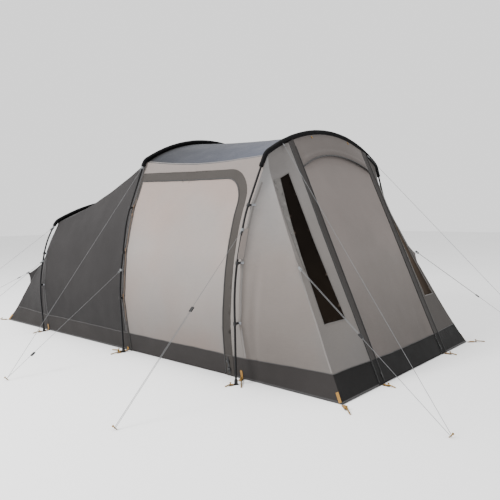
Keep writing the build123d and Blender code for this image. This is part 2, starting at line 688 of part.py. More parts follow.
def guy_nodes():
    pegs, tabs = [], []
    for name, data in GUYS.items():
        for side, side_name in ((1, "left"), (-1, "right")):
            rope, runner, post, rope_tabs = guy(f"{name}_{side_name}", data, side)
            save(f"guy_rope_{name}_{side_name}", [rope])
            save(f"guy_runner_{name}_{side_name}", [runner])
            pegs.append(post)
            tabs += rope_tabs
    save("guy_pegs", pegs)
    save("guy_tabs", tabs)


# ---- zip sliders -------------------------------------------------------------------
SLIDER = (26.0, 10.0, 5.0)
SLIDER_PULL, SLIDER_NECK = (34, 6, 2.4), (6, 6, 6)
SLIDER_START, SLIDER_STOP = 70.0, 500.0
SLIDER_INSET = 14.0                        # front sliders, from the strip's inner edge


def slider(foot, up, out):
    """Zip slider with a short pull, standing on the cloth at its foot point."""
    lift = SLIDER[2] / 2 + 1.0
    body = oriented_box(foot + out * lift, up, up.cross(out), SLIDER)
    pull = oriented_box(foot + out * (lift + 4) - up * 12, up, up.cross(out), SLIDER_PULL)
    neck = oriented_box(foot + out * (lift + 2) - up * 2, up, up.cross(out), SLIDER_NECK)
    return body + pull + neck


def slider_nodes():
    rake = Vector(-FRONT_RAKE, 0, 1).normalized()
    face = Vector(1, 0, FRONT_RAKE).normalized()
    middle_wall, front_wall = arches["middle"].wall, arches["front"].wall
    for side, name in ((1, "left"), (-1, "right")):
        foot = Vector(front_x(SLIDER_START), side * (ZIP_STRIP[0] + SLIDER_INSET), SLIDER_START)
        save(f"zip_slider_front_{name}", [slider(foot, rake, face)])
        # the side zip runs up the straight lower part of the doorway's front edge
        ends = []
        (top_x, top_z), (low_x, low_z) = DOOR_CORNERS[3:]
        for z in (SLIDER_START, SLIDER_STOP):
            x = low_x + 30 + (z - low_z) * (top_x - low_x) / (top_z - low_z)
            t = (x - arches["middle"].x) / (arches["front"].x - arches["middle"].x)
            y = on_outline(middle_wall, z) * (1 - t) + on_outline(front_wall, z) * t
            ends.append(Vector(x, side * (y + 2), z))
        up = (ends[1] - ends[0]).normalized()
        out = up.cross(Vector(1, 0, 0)).normalized()
        out = out if out.Y * side > 0 else out * -1
        print("side slider", name, tuple(round(v, 4) for v in up))
        save(f"zip_slider_side_{name}", [slider(ends[0], up, out)])


os.makedirs("parts", exist_ok=True)
arch_nodes()
clip_and_foot_nodes()
side_wall_nodes()
skirt_node()
front_nodes()
rear_nodes()
anchor_nodes()
guy_nodes()
slider_nodes()
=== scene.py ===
import math
from functools import lru_cache

import bmesh
import bpy
import numpy as np
from mathutils import Matrix, Vector, noise
from mathutils.geometry import delaunay_2d_cdt


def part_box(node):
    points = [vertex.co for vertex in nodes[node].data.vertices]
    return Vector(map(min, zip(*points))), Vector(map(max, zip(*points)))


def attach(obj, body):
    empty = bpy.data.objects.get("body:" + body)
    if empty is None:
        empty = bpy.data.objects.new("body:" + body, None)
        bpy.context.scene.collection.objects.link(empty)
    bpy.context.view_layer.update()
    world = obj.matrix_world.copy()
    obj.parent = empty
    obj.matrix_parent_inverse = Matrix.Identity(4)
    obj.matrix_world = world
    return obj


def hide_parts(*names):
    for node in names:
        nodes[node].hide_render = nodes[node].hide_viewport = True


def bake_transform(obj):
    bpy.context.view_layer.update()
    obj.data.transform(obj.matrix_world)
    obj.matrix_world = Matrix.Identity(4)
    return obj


# Tunnel tent on poles: its cloth, ropes and finishes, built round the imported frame.
# Metres. +X is the front door's end and +Z is up; "left" is +Y and "right" is -Y.

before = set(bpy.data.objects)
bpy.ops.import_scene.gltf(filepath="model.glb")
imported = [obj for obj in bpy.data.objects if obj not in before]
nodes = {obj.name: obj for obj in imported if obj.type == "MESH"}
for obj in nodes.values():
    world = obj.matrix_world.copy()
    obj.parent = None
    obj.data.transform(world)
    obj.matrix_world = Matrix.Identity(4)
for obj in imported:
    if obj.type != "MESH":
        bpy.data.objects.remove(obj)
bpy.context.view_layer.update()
SIDES = {"left": 1, "right": -1}

# ---- the tent's outlines -------------------------------------------------------------
CLOTH = 0.0012            # thickness of the cloth
GRID = 0.026              # mesh spacing on the cloth
SKIRT_TOP = 0.180
ROOF_DROP = 0.025         # roof cloth below the pole's centre line
INSIDE = Vector((0, 0, 0.6))

# Half outline of the wall cloth at each arch, as (half width, height) from the ground up,
# the crown of the pole, and the two upper points of the pole's leg.
WALLS = {
    "front": [(1.150, 0), (1.245, .540), (1.150, 1.200), (.882, 1.770)],
    "middle": [(1.150, 0), (1.213, .540), (1.130, 1.180), (.899, 1.811)],
    "rear": [(1.150, 0), (1.200, .480), (1.148, .900), (.994, 1.222)],
}
CROWNS = {"front": 2.032, "middle": 2.083, "rear": 1.488}
LEG_TOPS = {"front": ((1.165, 1.290), (.905, 1.790)), "middle": ((1.155, 1.270), (.922, 1.830)),
            "rear": ((1.150, 1.030), (1.018, 1.242))}
FRONT_LEG = [(1.288, 0), (1.297, .800), (1.165, 1.290), (.905, 1.790)]
CLIP_HEIGHTS = {"front": (.470, .930, 1.370), "middle": (.520, .950, 1.370), "rear": (.530, .880)}
SLEEVE_TAILS = {"front": .130, "middle": .066, "rear": .066}
STUB = .110

# Slack half way along each bay: inward at the shoulder, down at the shoulder and crown.
BAYS = {"living": ("middle", "front", (.015, .045, .018)),
        "bedroom": ("rear", "middle", (.025, .050, .045))}

# Corner seams as (x, half width, height).
FRONT_CREASE = [(2.438, 1.165, 0), (2.328, 1.112, .180), (2.127, 1.037, .540),
                (1.782, .931, 1.200), (1.595, .888, 1.640), (1.572, .883, 1.770)]
REAR_CREASE = [(-2.438, 1.150, 0), (-2.273, 1.102, .180), (-2.057, 1.044, .480),
               (-1.705, .976, .900), (-1.500, .968, 1.150)]
FRONT_EDGE, FRONT_RAKE = 2.438, .447
STRIP = (.551, .639)
DOOR_HALF, DOOR_SHOULDER, DOOR_CROWN = .549, 1.700, 1.820
# Side door and its border as (x, z): bottom rear, top rear, top front, middle front and
# bottom front; then the radius of the top front corner.
DOOR = ([(.095, .006), (.095, 1.618), (1.410, 1.588), (1.394, .560), (1.338, .006)], .225)
BORDER = ([(.072, .003), (.072, 1.700), (1.492, 1.668), (1.480, .560), (1.428, .003)], .300)
WINDOW = [(.725, 1.632), (.816, 1.585), (.973, .485), (.726, .495)]


def middle_x(node):
    low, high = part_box(node)
    return (low.x + high.x) / 2


ARCH_X = {name: middle_x(f"{name}_arch_legs") for name in WALLS}


def ease(rows, level):
    """Smooth value at a level through rows of (value, level), with a cubic per span."""
    last = len(rows) - 1
    slopes = []
    for i in range(last + 1):
        (v0, l0), (v1, l1) = rows[max(i - 1, 0)], rows[min(i + 1, last)]
        slopes.append((v1 - v0) / (l1 - l0))
    if level >= rows[last][1]:
        return rows[last][0] + slopes[last] * (level - rows[last][1])
    i = max(k for k in range(last) if rows[k][1] <= max(level, rows[0][1]))
    (v0, l0), (v1, l1) = rows[i], rows[i + 1]
    span = l1 - l0
    t = (level - l0) / span
    return ((1 + 2 * t) * (1 - t) ** 2 * v0 + t * (1 - t) ** 2 * span * slopes[i]
            + t * t * (3 - 2 * t) * v1 + t * t * (t - 1) * span * slopes[i + 1])


@lru_cache(maxsize=None)
def bay_section(bay, x):
    """Wall outline and crown of the roof cloth at x, let in and down by the slack."""
    rear, front, (sag_in, sag_down, sag_crown) = BAYS[bay]
    t = (x - ARCH_X[rear]) / (ARCH_X[front] - ARCH_X[rear])
    bow = 4 * t * (1 - t)
    section = []
    for share, down, (y0, z0), (y1, z1) in zip((0, .5, 1, 1), (0, 0, 0, sag_down),
                                               WALLS[rear], WALLS[front]):
        section.append((y0 + (y1 - y0) * t - sag_in * share * bow, z0 + (z1 - z0) * t - down * bow))
    crown = CROWNS[rear] + (CROWNS[front] - CROWNS[rear]) * t - ROOF_DROP - sag_crown * bow
    return tuple(section), crown


def shoulder(bay, x):
    return bay_section(bay, x)[0][-1]


def circle_through(half, rise):
    """Radius of the arc that spans twice the half width and rises by the rise."""
    return (half * half + rise * rise) / (2 * rise)


FRONT_ARC_HALF, FRONT_ARC_EDGE = WALLS["front"][-1]
FRONT_ARC_TOP = CROWNS["front"] - ROOF_DROP
FRONT_ARC_R = circle_through(FRONT_ARC_HALF, FRONT_ARC_TOP - FRONT_ARC_EDGE)


def front_arc_z(y):
    """Height of the roof's front edge at a half width."""
    return FRONT_ARC_TOP - FRONT_ARC_R + math.sqrt(FRONT_ARC_R ** 2 - y * y)


def front_arc_y(z):
    return math.sqrt(max(0.0, FRONT_ARC_R ** 2 - (z - FRONT_ARC_TOP + FRONT_ARC_R) ** 2))


def crease(rows, z):
    """(x, half width) of a corner seam at a height."""
    return ease([(r[0], r[2]) for r in rows], z), ease([(r[1], r[2]) for r in rows], z)


def front_crease(z):
    if z <= FRONT_CREASE[-1][2]:
        return crease(FRONT_CREASE, z)
    return FRONT_CREASE[-1][0], front_arc_y(z)


def front_x(z):
    return FRONT_EDGE - FRONT_RAKE * z


# ---- slack and pull of the cloth -----------------------------------------------------
def bump(distance, width):
    return math.exp(-(distance / width) ** 2)


def slack(p):
    """A point of the cloth, moved by slow ripples that die out at the ground and the poles."""
    to_pole = min(abs(p.x - x) for x in ARCH_X.values())
    calm = min(1.0, max(0.0, p.z - .01) / .15) * min(1.0, .2 + to_pole / .25)
    slow = noise.noise_vector(p * 1.6) * .007
    folds = noise.noise_vector(Vector((p.x * 7, p.y * 7, p.z * 1.3))) * .0028
    small = noise.noise_vector(p * 9 + Vector((7, 3, 5))) * .0012
    moved = p + (slow + folds + small) * calm
    moved.z = max(moved.z, .0015)
    return moved


def clip_pull(x, z):
    """How far the pole clips draw the wall outward, with small folds that run to each clip."""
    out = 0.0
    for name, arch_x in ARCH_X.items():
        for height in CLIP_HEIGHTS[name]:
            dx, dz = x - arch_x, z - height
            far = math.hypot(dx, dz)
            if far > .45:
                continue
            star = math.cos(7 * math.atan2(dz, dx)) * .0028 * math.exp(-far / .11) * min(1, far / .04)
            out += .008 * bump(far, .055) + star
    return out


def wall_map(bay, side, lift=0.0):
    """Place of a side wall's point (x, z) in space."""
    def at(x, z):
        section, _ = bay_section(bay, round(x, 4))
        p = Vector((x, side * (ease(section, z) + clip_pull(x, z)), z))
        at_zip = bump(x - 1.40, .09) * bump(z - .60, .45)
        return slack(p).lerp(p, .8 * at_zip) + Vector((0, side * lift, 0))
    return at


def roof_map(bay):
    """Place of a roof's point (x, across), with across from -1 to 1."""
    def at(x, across):
        section, crown = bay_section(bay, round(x, 4))
        half, edge = section[-1]
        radius = circle_through(half, crown - edge)
        angle = across * math.asin(half / radius)
        y, z = radius * math.sin(angle), crown - radius + radius * math.cos(angle)
        return slack(Vector((x, y, z)))
    return at


def wing_map(arch, seam, side, lift=0.0):
    """Place of a point (x, z) of the cloth from an end arch out to its corner seam."""
    def at(x, z):
        corner_x, corner_y = seam(z)
        reach = corner_x - ARCH_X[arch]
        s = min(1.0, max(0.0, (x - ARCH_X[arch]) / reach)) if abs(reach) > 1e-4 else 1.0
        near = ease(WALLS[arch], z)
        hollow = .010 * 4 * s * (1 - s) * min(1.0, z / .3)
        fold = .018 * bump(abs(x - ARCH_X[arch]) - .105, .018) * bump(z - .50, .36)
        y = near + (corner_y - near) * s - hollow - fold + clip_pull(x, z)
        return slack(Vector((x, side * y, z))) + Vector((0, side * lift, 0))
    return at


def rear_crease(z):
    return crease(REAR_CREASE, z)


def front_map(side, lift=0.0):
    """Place of a point (half width, z) of the raked front, door, strips and windows."""
    out = Vector((1, 0, FRONT_RAKE)).normalized() * lift

    def at(y, z):
        x, half = front_crease(z)
        flat = front_x(z)
        if abs(y) > STRIP[1]:
            share = min(1.0, (abs(y) - STRIP[1]) / max(.01, half - STRIP[1]))
            flat += (x - flat) * share
            flat -= .012 * 4 * share * (1 - share) * min(1.0, z / .4)
        elif abs(y) < STRIP[0]:
            level = min(1.0, max(0.0, z - .2) / .5) * min(1.0, max(0.0, DOOR_CROWN - z) / .3)
            flat -= .010 * math.cos(y / STRIP[0] * math.pi / 2) * level
        p = Vector((flat, side * y, z))
        return slack(p).lerp(p, .7 * bump(abs(y) - STRIP[0], .09)) + out
    return at


# Rear panel stations up its corner seam: height, way it bulges as (x, z), and how far.
REAR_BULGES = [(0.0, (-.80, .60), .018), (.1825, (-.80, .60), .025), (.480, (-.77, .64), .043),
               (.900, (-.70, .71), .098), (1.150, (-.55, .84), .135)]
REAR_TOP = ((-1.433, .988, 1.220), (0.0, 1.0), .243)


def rear_station(level):
    """Corner point (x, half width, z), bulge way and bulge at a level up the rear panel."""
    stations = []
    for height, way, bulge in REAR_BULGES:
        x, half = rear_crease(height)
        stations.append((height, (x, half - .004, height, *way, bulge)))
    (x, half, z), way, bulge = REAR_TOP
    stations.append((z, (x, half, z, *way, bulge)))
    values = [ease([(row[i], height) for height, row in stations], level) for i in range(6)]
    return values


def rear_map(across, level):
    """Place of the rear panel's point: across from -1 to 1, level up its corner seam."""
    x, half, z, way_x, way_z, bulge = rear_station(level)
    radius = circle_through(half, bulge)
    angle = across * math.asin(min(1.0, half / radius))
    rise = radius * math.cos(angle) - radius + bulge
    length = math.hypot(way_x, way_z)
    return slack(Vector((x + way_x / length * rise, radius * math.sin(angle), z + way_z / length * rise)))


# ---- meshes --------------------------------------------------------------------------
def finish_piece(ob, material, slot, body="tent", stands_for=()):
    ob.data.materials.append(material)
    if body:
        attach(ob, body)
    if stands_for:
        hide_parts(*stands_for)
    return ob


def mesh_object(name, points, faces, uvs, sharp_faces=()):
    mesh = bpy.data.meshes.new(name)
    mesh.from_pydata([tuple(p) for p in points], [], faces)
    layer = mesh.uv_layers.new(name="UVMap")
    corners = np.empty(len(mesh.loops), dtype=np.int32)
    mesh.loops.foreach_get("vertex_index", corners)
    layer.data.foreach_set("uv", np.array(uvs, dtype=np.float32)[corners].ravel())
    mesh.polygons.foreach_set("use_smooth", np.ones(len(mesh.polygons), dtype=bool))
    if len(sharp_faces):
        keys = {key for i in sharp_faces for key in mesh.polygons[i].edge_keys}
        for edge in mesh.edges:
            if edge.key in keys:
                edge.use_edge_sharp = True
    mesh.update()
    ob = bpy.data.objects.new(name, mesh)
    bpy.context.scene.collection.objects.link(ob)
    return ob


def shell(name, points, faces, uvs, thickness=CLOTH, outward=None):
    """Closed thin cloth: the faces, a second layer inside them, and a rim along the edges."""
    co = np.array([tuple(p) for p in points])
    out = co - np.array(INSIDE) if outward is None else np.array([tuple(v) for v in outward])
    normals = np.zeros_like(co)
    for face in faces:
        a, b, c = (co[i] for i in face[:3])
        normals[list(face)] += np.cross(b - a, c - a)
    if (normals * out).sum() < 0:
        faces = [tuple(reversed(face)) for face in faces]
        normals = -normals
    normals /= np.linalg.norm(normals, axis=1, keepdims=True) + 1e-12
    count = len(co)
    under = co - normals * thickness
    under[:, 2] = np.maximum(under[:, 2], .0005)
    once = {}
    for face in faces:
        for a, b in zip(face, face[1:] + face[:1]):
            key = (min(a, b), max(a, b))
            once[key] = None if key in once else (a, b)
    rim = [(b, a, a + count, b + count) for edge in once.values() if edge for a, b in [edge]]
    lower = [tuple(i + count for i in reversed(face)) for face in faces]
    every = list(faces) + lower + rim
    sharp = range(len(faces) + len(lower), len(every))
    return mesh_object(name, np.vstack([co, under]), every, list(uvs) * 2, sharp)


def resample(points, spacing):
    """Points along a broken line, evenly spaced between its corners."""
    result = [tuple(points[0])]
    for a, b in zip(points, points[1:]):
        steps = max(1, round(math.dist(a, b) / spacing))
        result += [tuple(p + (q - p) * i / steps for p, q in zip(a, b)) for i in range(1, steps + 1)]
    return result


def inside(loops, points):
    """True for each point that lies inside the outline and outside its holes."""
    result = np.zeros(len(points), dtype=bool)
    for loop in loops:
        ring = np.array(loop)
        for (x0, y0), (x1, y1) in zip(ring, np.roll(ring, -1, axis=0)):
            if y0 == y1:
                continue
            crosses = (points[:, 1] > min(y0, y1)) & (points[:, 1] <= max(y0, y1))
            reach = x0 + (points[:, 1] - y0) * (x1 - x0) / (y1 - y0)
            result ^= crosses & (points[:, 0] < reach)
    return result


def panel(name, outline, place, holes=(), spacing=GRID, thickness=CLOTH):
    """Cloth panel cut to a flat outline, meshed finely and put in space by a map."""
    loops = [resample([*loop, loop[0]], spacing)[:-1] for loop in (outline, *holes)]
    edge = np.array([p for loop in loops for p in loop])
    low, high = edge.min(0), edge.max(0)
    rows = np.arange(low[1] + spacing / 2, high[1], spacing * .87)
    grid = [(x + (k % 2) * spacing / 2, y) for k, y in enumerate(rows)
            for x in np.arange(low[0] + spacing / 4, high[0], spacing)]
    grid = np.array(grid)
    grid = grid[inside(loops, grid)]
    far = np.array([np.min(np.abs(edge - p).max(1)) > spacing * .45 for p in grid])
    grid = grid[far] if len(grid) else grid
    corners = [Vector(p) for p in edge.tolist()] + [Vector(p) for p in grid.tolist()]
    lines, start = [], 0
    for loop in loops:
        count = len(loop)
        lines += [(start + i, start + (i + 1) % count) for i in range(count)]
        start += count
    flat, _, faces, *_ = delaunay_2d_cdt(corners, lines, [], 0, 1e-7)
    middles = np.array([sum((flat[i] for i in face), Vector((0, 0))) / 3 for face in faces])
    kept = [tuple(face) for face, ok in zip(faces, inside(loops, middles)) if ok]
    return shell(name, [place(*p) for p in flat], kept, [tuple(p) for p in flat], thickness)


def lattice(name, place, firsts, seconds, scale=(1, 1), thickness=CLOTH, outward=None):
    """Cloth panel on a grid of two parameters."""
    points = [place(a, b) for a in firsts for b in seconds]
    uvs = [(a * scale[0], b * scale[1]) for a in firsts for b in seconds]
    width = len(seconds)
    faces = [(i * width + j, i * width + j + 1, (i + 1) * width + j + 1, (i + 1) * width + j)
             for i in range(len(firsts) - 1) for j in range(width - 1)]
    return shell(name, points, faces, uvs, thickness, outward)


def outward_at(place, a, b, step=.004):
    """Unit vector out of the cloth at a map's point."""
    p = place(a, b)
    normal = (place(a + step, b) - p).cross(place(a, b + step) - p).normalized()
    return normal if normal.dot(p - INSIDE) > 0 else -normal


def ribbon(name, points, acrosses, width, thickness, crown=0.0):
    """Closed flat strip along points; acrosses are the unit vectors of its width."""
    rings, uvs, run = [], [], 0.0
    sections = [(-.5, 0), (-.5, 1), (-.25, 1 + crown), (0, 1 + crown * 1.3), (.25, 1 + crown),
                (.5, 1), (.5, 0), (0, 0)]
    for i, (p, across) in enumerate(zip(points, acrosses)):
        before, after = points[max(i - 1, 0)], points[min(i + 1, len(points) - 1)]
        run += (p - points[i - 1]).length if i else 0.0
        up = across.cross(after - before).normalized()
        for w, h in sections:
            rings.append(p + across * width * w + up * thickness * h)
            uvs.append((run, width * w))
    n = len(sections)
    faces = [(r * n + i, r * n + (i + 1) % n, (r + 1) * n + (i + 1) % n, (r + 1) * n + i)
             for r in range(len(points) - 1) for i in range(n)]
    faces += [tuple(range(n - 1, -1, -1)), tuple(range(len(rings) - n, len(rings)))]
    ob = mesh_object(name, rings, faces, uvs)
    work = bmesh.new()
    work.from_mesh(ob.data)
    bmesh.ops.recalc_face_normals(work, faces=work.faces)
    for edge in work.edges:
        if edge.calc_face_angle(0) > .6:
            edge.smooth = False
    work.to_mesh(ob.data)
    work.free()
    return ob


def tape(name, place, path, width, thickness=.0012, lift=.0004, crown=0.0, spacing=.03):
    """Strip sewn on the cloth along a path in a map's own coordinates."""
    line = resample(path, spacing)
    points, acrosses = [], []
    for i, (a, b) in enumerate(line):
        before, after = line[max(i - 1, 0)], line[min(i + 1, len(line) - 1)]
        out = outward_at(place, a, b)
        along = (place(*after) - place(*before)).normalized()
        # across x along gives the strip's upper side, which faces out of the cloth
        acrosses.append(along.cross(out).normalized())
        points.append(place(a, b) + out * lift)
    return ribbon(name, points, acrosses, width, thickness, crown)


def join(name, obs):
    bpy.context.view_layer.update()
    with bpy.context.temp_override(active_object=obs[0], selected_editable_objects=obs,
                                   selected_objects=obs, object=obs[0]):
        bpy.ops.object.join()
    obs[0].name = name
    obs[0].data.name = name
    return obs[0]


# ---- materials -----------------------------------------------------------------------
class Finish:
    """A node material with the pieces that most finishes here share."""

    def __init__(self, name, colour, roughness, metallic=0.0, sheen=0.0, coat=0.0, specular=.5):
        self.material = bpy.data.materials.new(name)
        self.material.use_nodes = True
        self.tree = self.material.node_tree
        self.shader = self.tree.nodes["Principled BSDF"]
        self.colour = (*colour, 1)
        for socket, value in (("Roughness", roughness), ("Metallic", metallic),
                              ("Sheen Weight", sheen), ("Sheen Roughness", .45),
                              ("Coat Weight", coat), ("Coat Roughness", .12),
                              ("Specular IOR Level", specular), ("Base Color", self.colour)):
            self.shader.inputs[socket].default_value = value
        self.coordinates = self.node("ShaderNodeTexCoord")
        self.normal = None

    def node(self, kind, **values):
        made = self.tree.nodes.new(kind)
        for key, value in values.items():
            setattr(made, key, value)
        return made

    def link(self, source, target):
        self.tree.links.new(source, target)

    def noise(self, scale, detail=3.0, stretch=(1, 1, 1), rough=.55):
        mapping = self.node("ShaderNodeMapping")
        mapping.inputs["Scale"].default_value = stretch
        self.link(self.coordinates.outputs["Object"], mapping.inputs["Vector"])
        made = self.node("ShaderNodeTexNoise")
        for socket, value in (("Scale", scale), ("Detail", detail), ("Roughness", rough)):
            made.inputs[socket].default_value = value
        self.link(mapping.outputs["Vector"], made.inputs["Vector"])
        return made.outputs["Fac"]

    def range(self, value, low, high, start=.3, end=.7):
        made = self.node("ShaderNodeMapRange")
        for socket, number in (("From Min", start), ("From Max", end), ("To Min", low), ("To Max", high)):
            made.inputs[socket].default_value = number
        self.link(value, made.inputs["Value"])
        return made.outputs["Result"]

    def math(self, operation, first, second=None):
        made = self.node("ShaderNodeMath", operation=operation)
        for socket, value in zip(made.inputs, (first, second)):
            if isinstance(value, (int, float)):
                socket.default_value = value
            elif value is not None:
                self.link(value, socket)
        return made.outputs[0]

    def mixed(self, first, second, share):
        """Colour that varies between two colours by a share."""
        made = self.node("ShaderNodeMix", data_type="RGBA")
        self.link(share, made.inputs["Factor"])
        made.inputs["A"].default_value = (*first, 1)
        made.inputs["B"].default_value = (*second, 1)
        return made.outputs["Result"]

    def mottle(self, dye, *shades):
        """The dye, or the finish's one colour, with brightness factors multiplied in."""
        value = shades[0]
        for other in shades[1:]:
            value = self.math("MULTIPLY", value, other)
        made = self.node("ShaderNodeHueSaturation")
        if dye:
            self.link(dye, made.inputs["Color"])
        else:
            made.inputs["Color"].default_value = self.colour
        self.link(value, made.inputs["Value"])
        self.link(made.outputs["Color"], self.shader.inputs["Base Color"])
        return made.outputs["Color"]

    def tint(self, colour_socket, other, share):
        """Mixes another colour in by a share that varies over the surface."""
        made = self.node("ShaderNodeMix", data_type="RGBA")
        self.link(share, made.inputs["Factor"])
        self.link(colour_socket, made.inputs["A"])
        made.inputs["B"].default_value = (*other, 1)
        self.link(made.outputs["Result"], self.shader.inputs["Base Color"])
        return made.outputs["Result"]

    def bump(self, height, distance, strength=1.0):
        made = self.node("ShaderNodeBump")
        made.inputs["Distance"].default_value = distance
        made.inputs["Strength"].default_value = strength
        self.link(height, made.inputs["Height"])
        if self.normal:
            self.link(self.normal, made.inputs["Normal"])
        self.normal = made.outputs["Normal"]
        self.link(self.normal, self.shader.inputs["Normal"])

    def rough(self, value):
        self.link(value, self.shader.inputs["Roughness"])

    def uv(self):
        made = self.node("ShaderNodeSeparateXYZ")
        self.link(self.coordinates.outputs["UV"], made.inputs["Vector"])
        return made.outputs["X"], made.outputs["Y"]

    def axis(self, name):
        made = self.node("ShaderNodeSeparateXYZ")
        self.link(self.coordinates.outputs["Object"], made.inputs["Vector"])
        return made.outputs[name]

    def waves(self, value, pitch):
        return self.math("SINE", self.math("MULTIPLY", value, 2 * math.pi / pitch))


ROOF_SHADE_X = (.10, 1.45)      # span of x over which the front roof's painted shade lifts: darkest at the middle arch, lightest towards the front


def cloth_finish(name, colour, roughness=.8, mottle=.05, pitch=.0022, dust=.12, sheen=.04,
                 other=None, wrinkle=.005, low_shade=1.0, specular=.15, shade_top=1.0,
                 rear_shade=1.0):
    """Coated tent cloth: threads, fine creases, uneven dye and a dustier foot, with painted shade that darkens the
    colour towards the ground (low_shade, up to shade_top) and along x (rear_shade).
    """
    f = Finish(name, colour, roughness, sheen=sheen, specular=specular)
    u, v = f.uv()
    weave = f.math("MULTIPLY", f.waves(u, pitch), f.waves(v, pitch))
    threads = f.noise(26, 4, (1, 1, 7))
    dye = f.mixed(colour, other or colour, f.range(f.noise(.8, 3), 0, .8, .42, .62))
    # painted shade: the height factor darkens the cloth towards the ground, the x factor darkens the front roof
    # towards the middle arch
    shade = f.mottle(dye, f.range(f.noise(1.1, 4), 1 - mottle, 1 + mottle),
                     f.range(threads, .97, 1.03), f.range(weave, .985, 1.015, -1, 1),
                     f.range(f.axis("Z"), low_shade, 1, .15, shade_top),
                     f.range(f.axis("X"), rear_shade, 1, *ROOF_SHADE_X))
    low = f.range(f.axis("Z"), dust, 0, .02, .32)
    speckle = f.range(f.noise(14, 5), .3, 1.2, .35, .7)
    f.tint(shade, [c * .8 for c in (.30, .27, .23)] if max(colour) > .15 else (.06, .055, .05),
           f.math("MULTIPLY", low, speckle))
    f.rough(f.range(f.noise(5, 4), roughness - .07, roughness + .07))
    f.bump(f.noise(7, 5, (1, 1, .6)), wrinkle, .6)
    f.bump(weave, .00035, .35)
    return f.material


def trim_finish(name, colour, roughness=.7, stitch=.0, edge=.0):
    """Sewn tape: ribbed across its length, with a row of stitches near both edges."""
    f = Finish(name, colour, roughness, sheen=.1, specular=.35)
    u, v = f.uv()
    rib = f.waves(u, .0018)
    shades = [f.range(f.noise(3, 4), .9, 1.1), f.range(rib, .96, 1.04, -1, 1)]
    if stitch:
        row = f.math("LESS_THAN", f.math("ABSOLUTE", f.math("SUBTRACT", f.math("ABSOLUTE", v), edge)),
                     .0007)
        dash = f.math("GREATER_THAN", f.waves(u, stitch), -.2)
        thread = f.math("MULTIPLY", row, dash)
        shades.append(f.range(thread, 1, 1.7, 0, 1))
        f.bump(thread, .0006, .8)
    f.mottle(None, *shades)
    f.rough(f.range(f.noise(9, 3), roughness - .08, roughness + .08))
    f.bump(rib, .0003, .5)
    return f.material


def hard_finish(name, colour, roughness, metallic=0.0, grain=90, depth=.00025, coat=0.0,
                stretch=(1, 1, 1), wear=.12, specular=.5):
    """Moulded, painted or anodised surface with fine grain, scuffs and uneven gloss."""
    f = Finish(name, colour, roughness, metallic=metallic, coat=coat, specular=specular)
    scuff = f.range(f.noise(28, 6, stretch, .7), 1 - wear, 1 + wear)
    f.mottle(None, scuff, f.range(f.noise(4, 3), .94, 1.06))
    f.rough(f.range(f.noise(46, 5, stretch), max(.05, roughness - .1), roughness + .12))
    f.bump(f.noise(grain, 3, stretch), depth, .5)
    return f.material


def film_finish(name):
    """Tinted window film: smooth, gently buckled, with a brown cast where it is lit."""
    f = Finish(name, (.0022, .0018, .0016), .16, specular=0, sheen=.12)
    f.shader.inputs["Sheen Tint"].default_value = (.8, .62, .48, 1)
    shade = f.mottle(None, f.range(f.noise(2.2, 3), .6, 1.5))
    brown = f.range(f.noise(1.4, 2, (1, 1, .8)), 0, .8, .46, .66)
    f.tint(shade, (.0055, .0038, .0027), brown)
    f.rough(f.range(f.noise(6, 3), .1, .24))
    f.bump(f.noise(3.5, 2), .02, .5)
    f.bump(f.noise(120, 2), .0001, .25)
    return f.material


def zip_finish(name, colour):
    """Coil zip: a raised row of teeth between two ribbed tapes."""
    f = Finish(name, colour, .5, specular=.4)
    u, v = f.uv()
    middle = f.math("LESS_THAN", f.math("ABSOLUTE", v), .0024)
    teeth = f.math("MULTIPLY", middle, f.range(f.waves(u, .0021), 0, 1, -1, 1))
    f.mottle(None, f.range(teeth, .8, 1.9, 0, 1), f.range(f.noise(6, 3), .9, 1.1))
    f.rough(f.range(f.noise(30, 3), .4, .6))
    f.bump(teeth, .0009, .9)
    return f.material


def rope_finish(name, colour):
    """Braided cord with a fine fleck."""
    f = Finish(name, colour, .7, sheen=.15, specular=.4)
    braid = f.noise(420, 2, (1, 1, 1))
    f.mottle(None, f.range(braid, .8, 1.15), f.range(f.noise(9, 3), .92, 1.05))
    f.rough(f.range(f.noise(60, 3), .6, .8))
    f.bump(braid, .0005, .7)
    return f.material


WALL = cloth_finish("wall_weave", (.205, .166, .147), other=(.195, .182, .173), low_shade=.58)
# wall cloth round the side doors, below the roof's edge: partly a darker tone, partly painted shade under the roof's
# overhang
WALL_EDGE = cloth_finish("wall_edge_weave", (.150, .130, .120), other=(.155, .143, .134),
                         low_shade=.75)
WALL_COOL = cloth_finish("wall_weave_cool", (.198, .192, .189), other=(.214, .184, .166),
                         low_shade=.40, shade_top=1.5)
# painted shade: a darker copy of the wall cloth for the raked front's window panels and gussets, which face away from
# the key light
WALL_FRONT = cloth_finish("wall_weave_front", (.128, .12, .116), other=(.14, .127, .117),
                          low_shade=.85)
WALL_SHADED = cloth_finish("wall_weave_shaded", (.066, .061, .058), other=(.072, .065, .06),
                           sheen=0, specular=.03)
# hood and front door on the raked front: darker than the side wall cloth, partly their own tone and partly painted
# shade of the front, which faces away from the key light
HOOD_CLOTH = cloth_finish("hood_weave", (.105, .092, .086), other=(.12, .108, .10))
DOOR_CLOTH = cloth_finish("door_weave", (.150, .130, .121), other=(.125, .112, .104),
                          low_shade=.62, shade_top=.9)
ROOF = cloth_finish("roof_weave", (.036, .040, .056), roughness=.6, mottle=.12, dust=0, sheen=.06,
                    other=(.026, .030, .045), rear_shade=.22)
